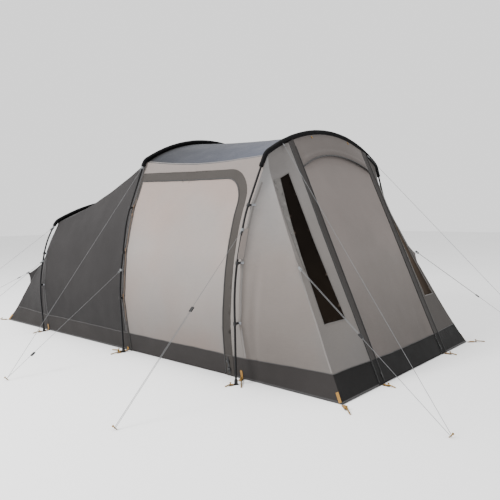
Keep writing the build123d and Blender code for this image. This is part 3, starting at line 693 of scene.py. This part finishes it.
# near-black band of the front roof beside the middle arch's sleeve: the sleeve's sewn flange, blackened as painted
# shadow of the sleeve
SLEEVE_SHADOW_BAND = cloth_finish("sleeve_shadow_band_weave", (.007, .007, .008), roughness=.6, dust=0)
DARK = cloth_finish("bedroom_weave", (.0215, .0200, .0200), roughness=.76, mottle=.14, dust=.05,
                    low_shade=.8, specular=.07)
SKIRT = cloth_finish("skirt_weave", (.0215, .0195, .019), roughness=.74, mottle=.1, dust=.05,
                     pitch=.003, specular=.06)
# painted shade: a darker copy of the skirt cloth for the front, its door band and strip feet, which face away from the
# key light
SKIRT_FRONT_PAINTED_SHADE = cloth_finish("skirt_weave_front_painted_shade", (.009, .0087, .0087), roughness=.74, mottle=.1,
                           dust=.02, pitch=.003, specular=.05)
TRIM = cloth_finish("trim_weave", (.037, .033, .030), roughness=.74, mottle=.08, dust=.03,
                    low_shade=.75, specular=.1)
STRIP_CLOTH = cloth_finish("strip_weave", (.032, .029, .0275), roughness=.74, mottle=.08, dust=.03,
                           specular=.1)
CURTAIN = cloth_finish("curtain_weave", (.100, .095, .090), roughness=.75)
SLEEVE = cloth_finish("sleeve_weave", (.0028, .0028, .0032), roughness=.66, mottle=.2, dust=0,
                      sheen=.01, wrinkle=.006, specular=.06)
PIPING = trim_finish("grey_piping", (.026, .0245, .024))
SEAM_TAPE = trim_finish("seam_tape", (.118, .109, .103), stitch=.006, edge=.0045)
WINDOW_EDGE = trim_finish("window_edge_tape", (.088, .082, .077))
DARK_TAPE = trim_finish("dark_seam_tape", (.022, .021, .021), stitch=.006, edge=.0045)
BLACK_TAPE = trim_finish("black_webbing", (.007, .007, .0075), stitch=.006, edge=.008)
PALE_TAB = trim_finish("pale_webbing", (.20, .205, .22), stitch=.006, edge=.006)
AMBER = trim_finish("amber_webbing", (.235, .120, .018), stitch=.005, edge=.0095)
ORANGE = trim_finish("amber_cord_tape", (.16, .095, .055))
GREY_WEB = trim_finish("grey_webbing", (.13, .135, .14), stitch=.005, edge=.005)
ZIP = zip_finish("zip_coil", (.012, .012, .012))
FILM = film_finish("window_film")
POLE = hard_finish("pole_coat", (.003, .003, .0035), .42, stretch=(3, 3, .5), specular=.16)
NYLON = hard_finish("black_nylon", (.006, .006, .0065), .5, specular=.3)
ENAMEL = hard_finish("black_enamel", (.008, .008, .008), .32, coat=.2)
GOLD = hard_finish("gold_anodising", (.20, .115, .022), .4, metallic=.4, stretch=(1, 1, 3),
                   specular=.3)
ROPE = rope_finish("guy_rope_braid", (.095, .097, .099))

CAD_FINISHES = {
    "groundsheet": SKIRT, "front_arch_legs": POLE, "middle_arch_legs": POLE,
    "rear_arch_legs": POLE, "roof_poles": POLE, "pole_elbows": NYLON, "pole_clips": NYLON,
    "pole_feet": NYLON, "peg_rings": ENAMEL, "ground_pegs": GOLD, "guy_pegs": GOLD,
    "strap_buckles": NYLON, "guy_tabs": GREY_WEB,
    **{f"zip_slider_{place}_{name}": ENAMEL for place in ("front", "side") for name in SIDES},
    **{n: NYLON for n in nodes if n.startswith("guy_runner_")},
}


def finish_cad_nodes():
    for name, material in CAD_FINISHES.items():
        nodes[name].data.materials.clear()
        nodes[name].data.materials.append(material)


# ---- outlines cut in the walls -------------------------------------------------------
def doorway(corners, radius, bottom=None):
    """Outline of a door with a round top front corner, from its bottom rear corner round."""
    (x0, z0), (x1, z1), (x2, z2), (x3, z3), (x4, z4) = corners
    z0 = z4 if bottom is None else bottom
    corner, back, down = Vector((x2, z2)), Vector((x1, z1)), Vector((x3, z3))
    to_back, to_down = (back - corner).normalized(), (down - corner).normalized()
    half = to_back.angle(to_down) / 2
    reach = radius / math.tan(half)
    centre = corner + (to_back + to_down).normalized() * (radius / math.sin(half))
    start, end = corner + to_back * reach, corner + to_down * reach
    first, last = (math.atan2(*(p - centre).yx) for p in (start, end))
    turns = [first + (last - first) * i / 14 for i in range(15)]
    arc = [(centre.x + radius * math.cos(a), centre.y + radius * math.sin(a)) for a in turns]
    # the front edge is one smooth curve from the round corner to the ground
    rows = [(x4, z4), (x3, z3), ((x3 + end.x) / 2 + .004, (z3 + end.y) / 2), (end.x, end.y)]
    heights = spaced(z0, end.y, .05)[:-1]
    return [(x0, z0), (x1, z1), *arc, *[(ease(rows, z), z) for z in reversed(heights)]]


def spaced(low, high, spacing=GRID):
    return list(np.linspace(low, high, max(2, round(abs(high - low) / spacing) + 1)))


def band_outline(start, end, low=.003, high=SKIRT_TOP):
    return [(start, low), (end, low), (end, high), (start, high)]


def side_panels():
    """Walls, doors, borders and skirts of both sides, on one surface per bay."""
    borders, bedroom_walls, skirts, pipings, hems, front_skirts = [], [], [], [], [], []
    x_mid, x_front, x_rear = ARCH_X["middle"], ARCH_X["front"], ARCH_X["rear"]
    for name, side in SIDES.items():
        living, bedroom = wall_map("living", side), wall_map("bedroom", side)
        tops = [(x, shoulder("living", round(x, 4))[1]) for x in spaced(x_front, x_mid)]
        border_up = doorway(*BORDER, bottom=SKIRT_TOP)
        outline = [(x_mid, SKIRT_TOP), *border_up, (x_front, SKIRT_TOP), *tops]
        wall = panel(f"wall_{name}", outline, living)
        finish_piece(wall, WALL_EDGE, "wall_cloth", stands_for=[f"living_wall_{name}"])
        borders.append(border_ring(name, side))
        door = panel(f"door_panel_{name}", doorway(*DOOR, bottom=SKIRT_TOP), living)
        band = panel(f"door_skirt_{name}", doorway_band(), living)
        piping = tape(f"door_piping_{name}", living,
                      [(.100, SKIRT_TOP), (doorway(*DOOR, bottom=SKIRT_TOP)[-1][0] - .004, SKIRT_TOP)], .006, crown=.6)
        for ob, material, slot, node in ((door, WALL, "wall_cloth", f"side_door_{name}"),
                                         (band, SKIRT, "skirt_cloth", f"side_door_skirt_{name}"),
                                         (piping, PIPING, "tab_webbing", None)):
            ob.data.materials.append(material)
            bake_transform(ob)
            if node:
                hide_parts(node)
        tops = [(x, shoulder("bedroom", round(x, 4))[1]) for x in spaced(x_mid, x_rear)]
        outline = [(x_rear, SKIRT_TOP), (x_mid, SKIRT_TOP), *tops]
        bedroom_walls.append(panel(f"bedroom_wall_{name}", outline, bedroom))
        wing = wing_map("front", front_crease, side)
        rear_wing = wing_map("rear", rear_crease, side)
        for start, end, place in ((x_mid, DOOR[0][0][0] - .004, living),
                                  (DOOR[0][4][0] + .014, x_front, living),
                                  (x_rear, x_mid, bedroom)):
            skirts.append(panel("skirt_part", band_outline(start, end), place))
            pipings.append(tape("piping_part", place, [(start, SKIRT_TOP), (end, SKIRT_TOP)],
                                .006, crown=.6))
            hems.append(tape("hem_part", place, [(start, .010), (end, .010)], .016))
        for place, seam, x_arch in ((wing, front_crease, x_front), (rear_wing, rear_crease, x_rear)):
            outer = [(seam(z)[0], z) for z in (.003, .06, .12, SKIRT_TOP)]
            skirts.append(panel("skirt_part", [(x_arch, .003), *outer, (x_arch, SKIRT_TOP)], place))
            pipings.append(tape("piping_part", place, [(x_arch, SKIRT_TOP), outer[-1]], .006,
                                crown=.6))
            hems.append(tape("hem_part", place, [(x_arch, .010), (outer[0][0], .010)], .016))
        front = front_map(side)
        inner = STRIP[1]
        corner = [(front_crease(z)[1], z) for z in (.003, .06, .12, SKIRT_TOP)]
        front_skirts.append(panel("skirt_part", [(inner, .003), *corner, (inner, SKIRT_TOP)], front))
        pipings.append(tape("piping_part", front, [(inner, SKIRT_TOP), corner[-1]], .006, crown=.6))
        hems.append(tape("hem_part", front, [(inner, .010), (corner[0][0], .010)], .016))
    across = [i / 40 for i in range(-40, 41)]
    skirts.append(lattice("rear_skirt_part", rear_map, across, [.003, .05, .10, .15, SKIRT_TOP],
                          (1.1, 1)))
    pipings.append(tape("piping_part", rear_map, [(-1, SKIRT_TOP), (1, SKIRT_TOP)], .006,
                        crown=.6, spacing=.04))
    finish_piece(join("border_panels", borders), TRIM, "trim_cloth",
                 stands_for=["side_door_borders"])
    finish_piece(join("bedroom_side_walls", bedroom_walls), DARK, "bedroom_cloth",
                 stands_for=["bedroom_walls"])
    finish_piece(join("skirt_bands", skirts), SKIRT, "skirt_cloth", stands_for=["mud_skirt"])
    finish_piece(join("front_skirt_bands", front_skirts), SKIRT_FRONT_PAINTED_SHADE, "skirt_cloth")
    finish_piece(join("skirt_piping", pipings), PIPING, "tab_webbing")
    finish_piece(join("skirt_hem", hems), DARK_TAPE, "skirt_cloth")


def widened(corners, gap, bottom):
    """Door corners moved out by a gap, with another bottom height."""
    (x0, _), (x1, z1), (x2, z2), (x3, z3), (x4, _) = corners
    return [(x0 - gap, bottom), (x1 - gap, z1 + gap), (x2 + gap, z2 + gap), (x3 + gap, z3),
            (x4 + gap, bottom)]


def border_ring(name, side):
    """Border round a side door, from the ground up one side, over and down the other."""
    inner = doorway(widened(DOOR[0], .004, BORDER[0][0][1]), DOOR[1] + .004)
    return panel(f"border_{name}", doorway(*BORDER) + inner[::-1], wall_map("living", side, .0022))


def doorway_band():
    """Outline of a side door's skirt, under its panel."""
    edge = [p for p in doorway(*DOOR) if p[1] < SKIRT_TOP - .01]
    top = doorway(*DOOR, bottom=SKIRT_TOP)
    return [edge[0], *edge[:0:-1], top[-1], top[0]]


def roof_panels():
    across = [i / 44 for i in range(-44, 45)]
    for bay, node, material, slot in (("living", "front_roof", ROOF, "roof_cloth"),
                                      ("bedroom", "rear_roof", DARK, "bedroom_cloth")):
        rear, front, _ = BAYS[bay]
        xs = spaced(ARCH_X[rear], ARCH_X[front], .036)
        # the first 55 mm of the front roof from the middle arch is the near-black band: the sleeve's flange with
        # painted shadow of the sleeve
        if bay == "living":
            band = lattice("roof_band", roof_map(bay), spaced(xs[0], xs[0] + .055), across, (1, 1.1))
            finish_piece(band, SLEEVE_SHADOW_BAND, "roof_cloth")
            xs = spaced(xs[0] + .055, xs[-1], .036)
        roof = lattice(f"{bay}_roof_cloth", roof_map(bay), xs, across, (1, 1.1))
        finish_piece(roof, material, slot, stands_for=[node])
        for side in SIDES.values():
            seam = tape(f"shoulder_seam_{bay}_{'left' if side > 0 else 'right'}", roof_map(bay),
                        [(ARCH_X[rear] + .03, side * .985), (ARCH_X[front] - .03, side * .985)], .012)
            finish_piece(seam, SEAM_TAPE if bay == "living" else DARK_TAPE, "tab_webbing")


def end_panels():
    """Wings, windows, strips, front door and rear panel."""
    wings, rear_wings, panes, strips, feet, frames, curtains = [], [], [], [], [], [], []
    for name, side in SIDES.items():
        place = wing_map("front", front_crease, side)
        heights = spaced(SKIRT_TOP, FRONT_CREASE[-1][2] - .01)
        outline = [(ARCH_X["front"], SKIRT_TOP), *[(front_crease(z)[0], z) for z in heights],
                   (ARCH_X["front"], heights[-1])]
        wings.append(panel(f"wing_{name}", outline, place))
        heights = spaced(SKIRT_TOP, REAR_CREASE[-1][2])
        outline = [(ARCH_X["rear"], SKIRT_TOP), *[(rear_crease(z)[0], z) for z in heights],
                   (ARCH_X["rear"], 1.19)]
        rear_wings.append(panel(f"rear_wing_{name}", outline, wing_map("rear", rear_crease, side)))
        front = front_map(side)
        heights = spaced(SKIRT_TOP, FRONT_CREASE[-1][2])
        arc = [(y, front_arc_z(y)) for y in spaced(.870, STRIP[1])]
        outline = [(STRIP[1], SKIRT_TOP), *[(front_crease(z)[1], z) for z in heights], *arc]
        sheet = panel(f"window_cloth_{name}", outline, front, [WINDOW])
        finish_piece(sheet, WALL_FRONT if side < 0 else WALL_SHADED, "wall_cloth",
                     stands_for=[f"window_panel_{name}"])
        panes.append(panel(f"pane_{name}", WINDOW, front_map(side, -.002), thickness=.0008))
        frames.append(tape(f"window_binding_{name}", front, [*WINDOW, WINDOW[0]], .008))
        curtain = [(y + .008, z) for y, z in WINDOW[1:3]]
        wide = [(curtain[0][0] + .060, curtain[0][1] - .015), (curtain[1][0] - .052, .900)]
        curtains.append(panel(f"curtain_{name}", [curtain[0], *wide, (wide[1][0] - .004, .86)],
                              front_map(side, .005), thickness=.002))
        tops = [(STRIP[1], 1.892), (STRIP[0], 1.925)]
        strips.append(panel(f"strip_{name}", [(STRIP[0], SKIRT_TOP), (STRIP[1], SKIRT_TOP), *tops],
                            front_map(side, .0015)))
        feet.append(panel(f"strip_foot_{name}", [(STRIP[0], .003), (STRIP[1], .003),
                                                 (STRIP[1], SKIRT_TOP), (STRIP[0], SKIRT_TOP)],
                          front_map(side, .0015)))
    finish_piece(join("wing_cloth", wings), WALL_COOL, "wall_cloth", stands_for=["front_wings"])
    finish_piece(join("rear_wing_cloth", rear_wings), DARK, "bedroom_cloth",
                 stands_for=["rear_wings"])
    finish_piece(join("window_film_panes", panes), FILM, "window_film", stands_for=["window_panes"])
    finish_piece(join("window_bindings", frames), WINDOW_EDGE, "tab_webbing")
    finish_piece(join("window_curtains", curtains), CURTAIN, "wall_cloth")
    finish_piece(join("zip_strip_cloth", strips), STRIP_CLOTH, "trim_cloth",
                 stands_for=["front_zip_strips"])
    finish_piece(join("zip_strip_feet", feet), SKIRT_FRONT_PAINTED_SHADE, "skirt_cloth")
    across = [i / 44 for i in range(-44, 45)]
    rear = lattice("rear_end_cloth", rear_map, across, spaced(SKIRT_TOP, 1.219), (1.1, 1))
    finish_piece(rear, DARK, "bedroom_cloth", stands_for=["rear_panel"])
    front_door_panels()


DOOR_ARC_R = circle_through(DOOR_HALF, DOOR_CROWN - DOOR_SHOULDER)


def door_arc_z(y, gap=0.0):
    return DOOR_CROWN + gap - DOOR_ARC_R + math.sqrt(DOOR_ARC_R ** 2 - y * y)


def front_door_panels():
    place = front_map(1)
    arc = [(y, door_arc_z(y, .006)) for y in spaced(DOOR_HALF, -DOOR_HALF, .03)]
    door = panel("front_door_panel", [(-DOOR_HALF, SKIRT_TOP), (DOOR_HALF, SKIRT_TOP), *arc], place)
    finish_piece(door, DOOR_CLOTH, "wall_cloth", "front_door", ["front_door"])
    band = panel("front_door_band", [(-DOOR_HALF, .006), (DOOR_HALF, .006),
                                     (DOOR_HALF, SKIRT_TOP), (-DOOR_HALF, SKIRT_TOP)], place)
    finish_piece(band, SKIRT_FRONT_PAINTED_SHADE, "skirt_cloth", "front_door", ["front_door_skirt"])
    piping = tape("front_door_piping", place, [(-DOOR_HALF, SKIRT_TOP), (DOOR_HALF, SKIRT_TOP)],
                  .006, crown=.6)
    finish_piece(piping, PIPING, "tab_webbing", "front_door")

    def hood(y, t):
        """From the lip over the door (t=0) up to the front arch (t=1)."""
        low, high = door_arc_z(y, -.012), front_arc_z(y)
        z = low + (high - low) * t
        lip = .016 * (1 - t) ** 2 + .010 * math.sin(math.pi * t)
        roll = .009 * bump(t - .17, .07)
        edge = min(1.0, max(0.0, STRIP[0] + .004 - abs(y)) / .05)
        x = front_x(z) + max(0.0, ARCH_X["front"] + .006 - front_x(high)) * t
        out = .003 + (lip + roll) * edge
        return Vector((x, y, z)) + Vector((1, 0, FRONT_RAKE)).normalized() * out
    ys = spaced(-STRIP[0] - .004, STRIP[0] + .004)
    cap = lattice("hood_cloth", hood, ys, [i / 16 for i in range(17)], (1, .3))
    finish_piece(cap, HOOD_CLOTH, "wall_cloth", stands_for=["front_hood"])
    # the hood's lower hem, taped dark as painted shadow of the hood over the door
    lip = tape("hood_lip", hood, [(ys[0], 0.01), (ys[-1], 0.01)], .012, .003, crown=.8)
    finish_piece(lip, DARK_TAPE, "tab_webbing")
    ties = [tape("tie", hood, [(y, .94), (y + .010, .84)], .010, .003, lift=.002, crown=.4)
            for y in (-.30, .30)]
    finish_piece(join("hood_ties", ties), AMBER, "webbing")


# ---- seams, zips and small trim on the cloth -----------------------------------------
def seams_and_zips():
    seams, dark_seams, zips, orange = [], [], [], []
    for name, side in SIDES.items():
        living, bedroom = wall_map("living", side), wall_map("bedroom", side)
        wing, rear_wing = wing_map("front", front_crease, side), wing_map("rear", rear_crease, side)
        front = front_map(side)
        heights = spaced(.19, .86, .05)
        seams.append(tape("seam", wing, [(front_crease(z)[0] - .007, z) for z in heights], .010))
        seams.append(tape("seam", wing, [(ARCH_X["front"] + .012, .19),
                                         (ARCH_X["front"] + .012, 1.55)], .014))
        for x in (ARCH_X["rear"] + .014, ARCH_X["middle"] - .014):
            top = shoulder("bedroom", round(x, 4))[1] - .03
            dark_seams.append(tape("seam", bedroom, [(x, .19), (x, top)], .014))
        heights = spaced(.19, REAR_CREASE[-1][2] - .02, .05)
        dark_seams.append(tape("seam", rear_wing, [(rear_crease(z)[0] + .007, z) for z in heights],
                               .010))
        line = doorway(widened(DOOR[0], .002, .02), DOOR[1] + .002)
        zips.append(tape("zip", wall_map("living", side, .0024), line, .010, .0018, crown=.9))
        orange.append(tape("line", wall_map("living", side, .003), [(.084, .30), (.084, 1.45)],
                           .0035, .0015))
        for y in STRIP:
            inset = .005 if y == STRIP[0] else -.005
            zips.append(tape("zip", front_map(side, .0025), [(y + inset, .02), (y + inset, 1.86)],
                             .009, .0018, crown=.9))
    finish_piece(join("light_seams", seams), SEAM_TAPE, "tab_webbing")
    finish_piece(join("dark_seams", dark_seams), DARK_TAPE, "skirt_cloth")
    finish_piece(join("zip_coils", zips), ZIP, "zip_metal")
    finish_piece(join("door_draw_lines", orange), ORANGE, "webbing")


# ---- pole sleeves --------------------------------------------------------------------
def sleeve_line(arch):
    """Centre line (half width, height) and unit tangent of half a sleeve, tail to crown."""
    (y0, z0), (y1, z1) = LEG_TOPS[arch]
    leg = Vector((y1 - y0, z1 - z0)).normalized()
    elbow = Vector((y1, z1))
    half_angle = math.atan((CROWNS[arch] - z1) / (y1 + STUB))
    roof = Vector((-math.cos(2 * half_angle), math.sin(2 * half_angle)))
    soft = .045
    points = [elbow - leg * (SLEEVE_TAILS[arch] - d) for d in
              spaced(0, SLEEVE_TAILS[arch] - soft, .012)]
    start, end = elbow - leg * soft, elbow + roof * soft
    for i in range(1, 8):
        t = i / 8
        points.append(start * (1 - t) ** 2 + elbow * 2 * t * (1 - t) + end * t * t)
    points += [elbow + roof * d for d in spaced(soft, STUB, .02)]
    half, low = points[-1]
    radius = circle_through(half, CROWNS[arch] - low)
    widest = math.asin(half / radius)
    for i in range(1, 33):
        angle = widest * (1 - i / 32)
        points.append(Vector((radius * math.sin(angle),
                              CROWNS[arch] - radius + radius * math.cos(angle))))
    return points


def sleeves():
    """Fabric sleeves: round over the pole, drawn down to a sewn edge on the roof cloth."""
    parts = []
    for seed, arch in enumerate(WALLS):
        half = sleeve_line(arch)
        line = [Vector((0, y, z)) for y, z in half]
        line += [Vector((0, -p.y, p.z)) for p in reversed(line[:-1])]
        line = [p + Vector((ARCH_X[arch], 0, 0)) for p in line]
        turns = 24
        points, uvs, outward, run = [], [], [], 0.0
        for i, p in enumerate(line):
            tangent = (line[min(i + 1, len(line) - 1)] - line[max(i - 1, 0)]).normalized()
            out = Vector((1, 0, 0)).cross(tangent).normalized()
            out = out if out.dot(p - Vector((p.x, 0, .9))) > 0 else -out
            run += (p - line[i - 1]).length if i else 0.0
            near_end = min(i, len(line) - 1 - i)
            hem = .0012 if near_end in (1, 2) else 0.0
            for k in range(turns):
                angle = 2 * math.pi * k / turns
                down = max(0.0, -math.cos(angle)) ** 8
                gather = noise.noise(Vector((run * 26 + seed * 9, math.cos(angle), math.sin(angle))))
                far = .0172 + .0105 * down * (1 if near_end > 6 else near_end / 6)
                far += gather * .0014 + hem
                way = out * math.cos(angle) + Vector((1, 0, 0)) * math.sin(angle)
                points.append(p + way * far)
                outward.append(way)
                uvs.append((run, angle * .018))
        faces = [(r * turns + k, r * turns + (k + 1) % turns, (r + 1) * turns + (k + 1) % turns,
                  (r + 1) * turns + k) for r in range(len(line) - 1) for k in range(turns)]
        parts.append(shell(f"sleeve_{arch}", points, faces, uvs, .0014, outward))
    finish_piece(join("sleeve_cloth_tubes", parts), SLEEVE, "sleeve_cloth",
                 stands_for=["pole_sleeves"])


# ---- guy ropes -----------------------------------------------------------------------
# Each route on the left side, as (x, y, z): from its tab round the peg and back. The
# corner ropes then turn round the corner ring and end in their runner.
ROUTES = {
    "front_corner": [(1.6044, .7039, 1.8520), (3.2119, 1.2371, .0107), (3.2094, 1.2468, .0107),
                     (1.9851, 1.0222, .8849), (1.9869, 1.0123, .8849), (2.5505, 1.1157, .4824)],
    "front_arch": [(1.5697, 1.2247, 1.1512), (1.5931, 2.4157, .0105), (1.6031, 2.4155, .0105),
                   (1.5900, 1.7506, .6473)],
    "middle_arch": [(.0643, .9794, 1.7226), (.0850, 2.3656, .0106), (.0750, 2.3657, .0106),
                    (.0645, 1.2656, .7615)],
    "rear_arch": [(-1.4328, 1.2373, .7714), (-1.4631, 2.3410, .0112), (-1.4531, 2.3412, .0112),
                  (-1.4362, 1.7255, .4353)],
    "rear_corner": [(-1.4575, 1.0870, 1.1411), (-2.6127, 2.0734, .0113), (-2.6205, 2.0672, .0113),
                    (-2.0923, 1.0557, .6023), (-2.0835, 1.0604, .6023), (-2.1275, 1.1447, .5531)],
}
ROPE_R = .0015
NEAR_TURN = .018          # a point this far from each turn keeps the long runs straight


def rope_points(route):
    """The route with a point added on each long run, close to the turn it runs into."""
    points = [Vector(p) for p in route]
    result = [points[0]]
    for i, (a, b) in enumerate(zip(points, points[1:])):
        way = (b - a).normalized()
        if (b - a).length > 4 * NEAR_TURN:
            if i > 0:
                result.append(a + way * NEAR_TURN)
            if i < len(points) - 2:
                result.append(b - way * NEAR_TURN)
        result.append(b)
    return result


def ropes():
    for kind, route in ROUTES.items():
        for name, side in SIDES.items():
            curve = bpy.data.curves.new(f"rope_{kind}_{name}", "CURVE")
            curve.dimensions = "3D"
            spline = curve.splines.new("NURBS")
            points = rope_points(route)
            spline.points.add(len(points) - 1)
            for target, p in zip(spline.points, points):
                target.co = (p.x, side * p.y, p.z, 1)
            spline.order_u = 3
            spline.use_endpoint_u = True
            spline.resolution_u = 8
            curve.bevel_depth = ROPE_R
            curve.bevel_resolution = 3
            curve.use_fill_caps = True
            rope = bpy.data.objects.new(curve.name, curve)
            bpy.context.scene.collection.objects.link(rope)
            curve.materials.append(ROPE)
            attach(rope, "tent")
            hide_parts(f"guy_rope_{kind}_{name}")


# ---- webbing at the ground -----------------------------------------------------------
# Start on the ground, way out and strap length of each anchor, left side.
ANCHORS = [((1.564, 1.312), (-.19, .98), .012), ((1.512, 1.163), (.66, .75), .012),
           ((.038, 1.231), (-.99, .14), .020), ((.062, 1.252), (-.10, .99), .016),
           ((-1.429, 1.244), (.15, .99), .020), ((2.442, 1.168), (.72, .69), .070),
           ((2.440, .597), (.99, .10), .034), ((-2.442, 1.152), (-.78, .62), .060)]
STRAP_WIDTH, STRAP_THICK = .026, .0016
STRAP_RISE = .072         # top of the straps sewn on the skirt


def webbing():
    """Straps from the skirt out to each ring, folded round the ring and sewn back."""
    straps = []
    up = Vector((0, 0, 1))
    for (x, y), way, length in ANCHORS:
        for side in SIDES.values():
            out = Vector((way[0], side * way[1], 0)).normalized()
            start = Vector((x, side * y, .0035))
            ring = start + out * (length + .003)
            line = [start + out * .001]
            line += [start + out * length * t for t in (.25, .5, .75, .9)]
            line += [ring + out * (.003 * math.sin(a)) + up * (.0022 * (1 - math.cos(a)))
                     for a in (.6, 1.3, 2.1, 2.8)]
            line += [start + out * length * t + up * .0042 for t in (.85, .6, .3)]
            straps.append(ribbon("strap", line, [up.cross(out)] * len(line), STRAP_WIDTH,
                                 STRAP_THICK))
    for name, side in SIDES.items():
        places = {"front": (wall_map("living", side), -.056, STRAP_RISE),
                  "middle": (wall_map("bedroom", side), -.027, .035),
                  "rear": (wing_map("rear", rear_crease, side), -.015, STRAP_RISE)}
        for arch, (place, aside, rise) in places.items():
            x = ARCH_X[arch] + aside
            straps.append(tape("strap", place, [(x, rise), (x, .012)], STRAP_WIDTH - .004,
                               .002, lift=.002))
            hem = place(x, .006)
            foot = Vector((ARCH_X[arch] + .6 * aside, side * (abs(hem.y) + .062), .004))
            line = [hem.lerp(foot, t) + Vector((0, side * .004, .002)) for t in (0, .2, .5, .8, 1)]
            straps.append(ribbon("strap", line, [Vector((1, 0, 0))] * 5, STRAP_WIDTH - .004,
                                 STRAP_THICK))
        for seam, place, inward in ((front_crease, wing_map("front", front_crease, side), -.013),
                                    (rear_crease, wing_map("rear", rear_crease, side), .013)):
            path = [(seam(z)[0] + inward, z) for z in (STRAP_RISE, .05, .010)]
            straps.append(tape("strap", place, path, STRAP_WIDTH - .004, .002, lift=.002))
    finish_piece(join("amber_straps", straps), AMBER, "webbing", stands_for=["peg_webbing"])


# ---- small trim ----------------------------------------------------------------------
def gusset(name, top, bottom, tip):
    """Small cloth triangle from a seam out to a guy ring, with hollow edges."""
    def place(t, across):
        middle = top.lerp(bottom, .5).lerp(tip, t)
        return middle + (top - bottom) * .5 * across * ((1 - t) ** 1.5 * .93 + .07)
    steps, across = [i / 12 for i in range(13)], [i / 8 for i in range(-8, 9)]
    return lattice(name, place, steps, across, (.1, .1), .002)


# Ring of each corner guy on the left: its seam, place, and half of the gusset's height.
CORNER_RINGS = {"front": (front_crease, (1.990, 1.018, .882), .095),
                "rear": (rear_crease, (-2.090, 1.062, .600), .115)}


def small_trim():
    pale, flaps, black, light_gussets, dark_gussets, toggles = [], [], [], [], [], []
    for name, side in SIDES.items():
        living, bedroom = wall_map("living", side), wall_map("bedroom", side)
        wing = wing_map("front", front_crease, side)
        for arch, heights in CLIP_HEIGHTS.items():
            place = {"front": wing, "middle": living, "rear": bedroom}[arch]
            for z in heights:
                x = ARCH_X[arch]
                if arch != "middle":
                    pale.append(tape("tab", place, [(x + .003, z), (x + .021, z)], .018, .0016,
                                     lift=.002, spacing=.01))
        x, flap = ARCH_X["front"], spaced(.96, 1.19, .02)
        flaps.append(lattice("flap", lambda z, t: wing(x + .014, z).lerp(
            Vector((x + .008, side * (ease(FRONT_LEG, z) - .010), z)), t), flap,
            [i / 8 for i in range(9)], (1, .06)))
        black.append(tape("strap", wall_map("living", side, .0045), [(1.386, .020), (1.388, .165)],
                          .020, .0018))
        for z in (.052, .118):
            black.append(tape("buckle", wall_map("living", side, .006),
                              [(1.386, z), (1.387, z + .022)], .030, .006, crown=.3, spacing=.01))
        for z in (.53, .96, 1.29, 1.37):
            toggles.append(tape("toggle", wall_map("living", side, .005), [(.084, z), (.084, z + .026)],
                                .006, .005, crown=.5, spacing=.01))
        for end, gussets in (("front", light_gussets), ("rear", dark_gussets)):
            seam, (x, y, z), half = CORNER_RINGS[end]
            corners = [Vector((seam(h)[0], side * seam(h)[1], h)) for h in (z + half, z - half)]
            ring = Vector((x, side * y, z))
            tip = ring + (corners[0].lerp(corners[1], .5) - ring).normalized() * .030
            gussets.append(gusset(f"gusset_{end}_{name}", *corners, tip))
    finish_piece(join("clip_tabs", pale), PALE_TAB, "tab_webbing")
    finish_piece(join("pole_flaps", flaps), WALL, "wall_cloth")
    finish_piece(join("door_foot_straps", black), BLACK_TAPE, "black_plastic")
    finish_piece(join("door_toggles", toggles), ORANGE, "webbing")
    finish_piece(join("front_gussets", light_gussets), WALL_FRONT, "wall_cloth")
    finish_piece(join("rear_gussets", dark_gussets), DARK, "bedroom_cloth")


# ---- stage ---------------------------------------------------------------------------
CAMERA = {"place": (4.380, -4.340, 1.310), "yaw": 41.02, "dip": 3.854, "roll": -.618, "lens": 39.77}


def camera():
    yaw, dip, roll = (math.radians(CAMERA[k]) for k in ("yaw", "dip", "roll"))
    look = Vector((-math.sin(yaw) * math.cos(dip), math.cos(yaw) * math.cos(dip), -math.sin(dip)))
    flat = Vector((math.cos(yaw), math.sin(yaw), 0))
    up = flat.cross(look)
    right = flat * math.cos(roll) + up * math.sin(roll)
    top = up * math.cos(roll) - flat * math.sin(roll)
    data = bpy.data.cameras.new("camera")
    data.lens, data.sensor_width = CAMERA["lens"], 36
    eye = bpy.data.objects.new("camera", data)
    bpy.context.scene.collection.objects.link(eye)
    eye.matrix_world = Matrix.Translation(CAMERA["place"]) @ Matrix(
        (right, top, -look)).transposed().to_4x4()
    bpy.context.scene.camera = eye


def area_light(name, place, target, size, power, colour=(1, 1, 1)):
    data = bpy.data.lights.new(name, "AREA")
    data.shape, data.size, data.energy, data.color = "DISK", size, power, colour
    lamp = bpy.data.objects.new(name, data)
    lamp.location = place
    lamp.rotation_euler = (Vector(target) - Vector(place)).to_track_quat("-Z", "Y").to_euler()
    bpy.context.scene.collection.objects.link(lamp)


def stage():
    bpy.ops.mesh.primitive_plane_add(size=60)
    floor = bpy.context.object
    floor.name = "studio_floor"
    pale = Finish("studio_floor_paint", (.86, .86, .86), .9, specular=.1)
    pale.mottle(None, pale.range(pale.noise(.6, 2), .99, 1.01))
    floor.data.materials.append(pale.material)
    world = bpy.data.worlds.new("studio")
    bpy.context.scene.world = world
    world.use_nodes = True
    world.node_tree.nodes["Background"].inputs["Color"].default_value = (1, 1, 1, 1)
    world.node_tree.nodes["Background"].inputs["Strength"].default_value = 1.4
    area_light("key_light", (-1.5, -8.5, 6.0), (-.3, 0, .7), 3.0, 1500)
    area_light("top_light", (0, -.5, 9.0), (0, 0, 1), 5.0, 500)


finish_cad_nodes()
side_panels()
roof_panels()
end_panels()
seams_and_zips()
sleeves()
ropes()
webbing()
small_trim()
camera()
stage()
bpy.context.view_layer.update()
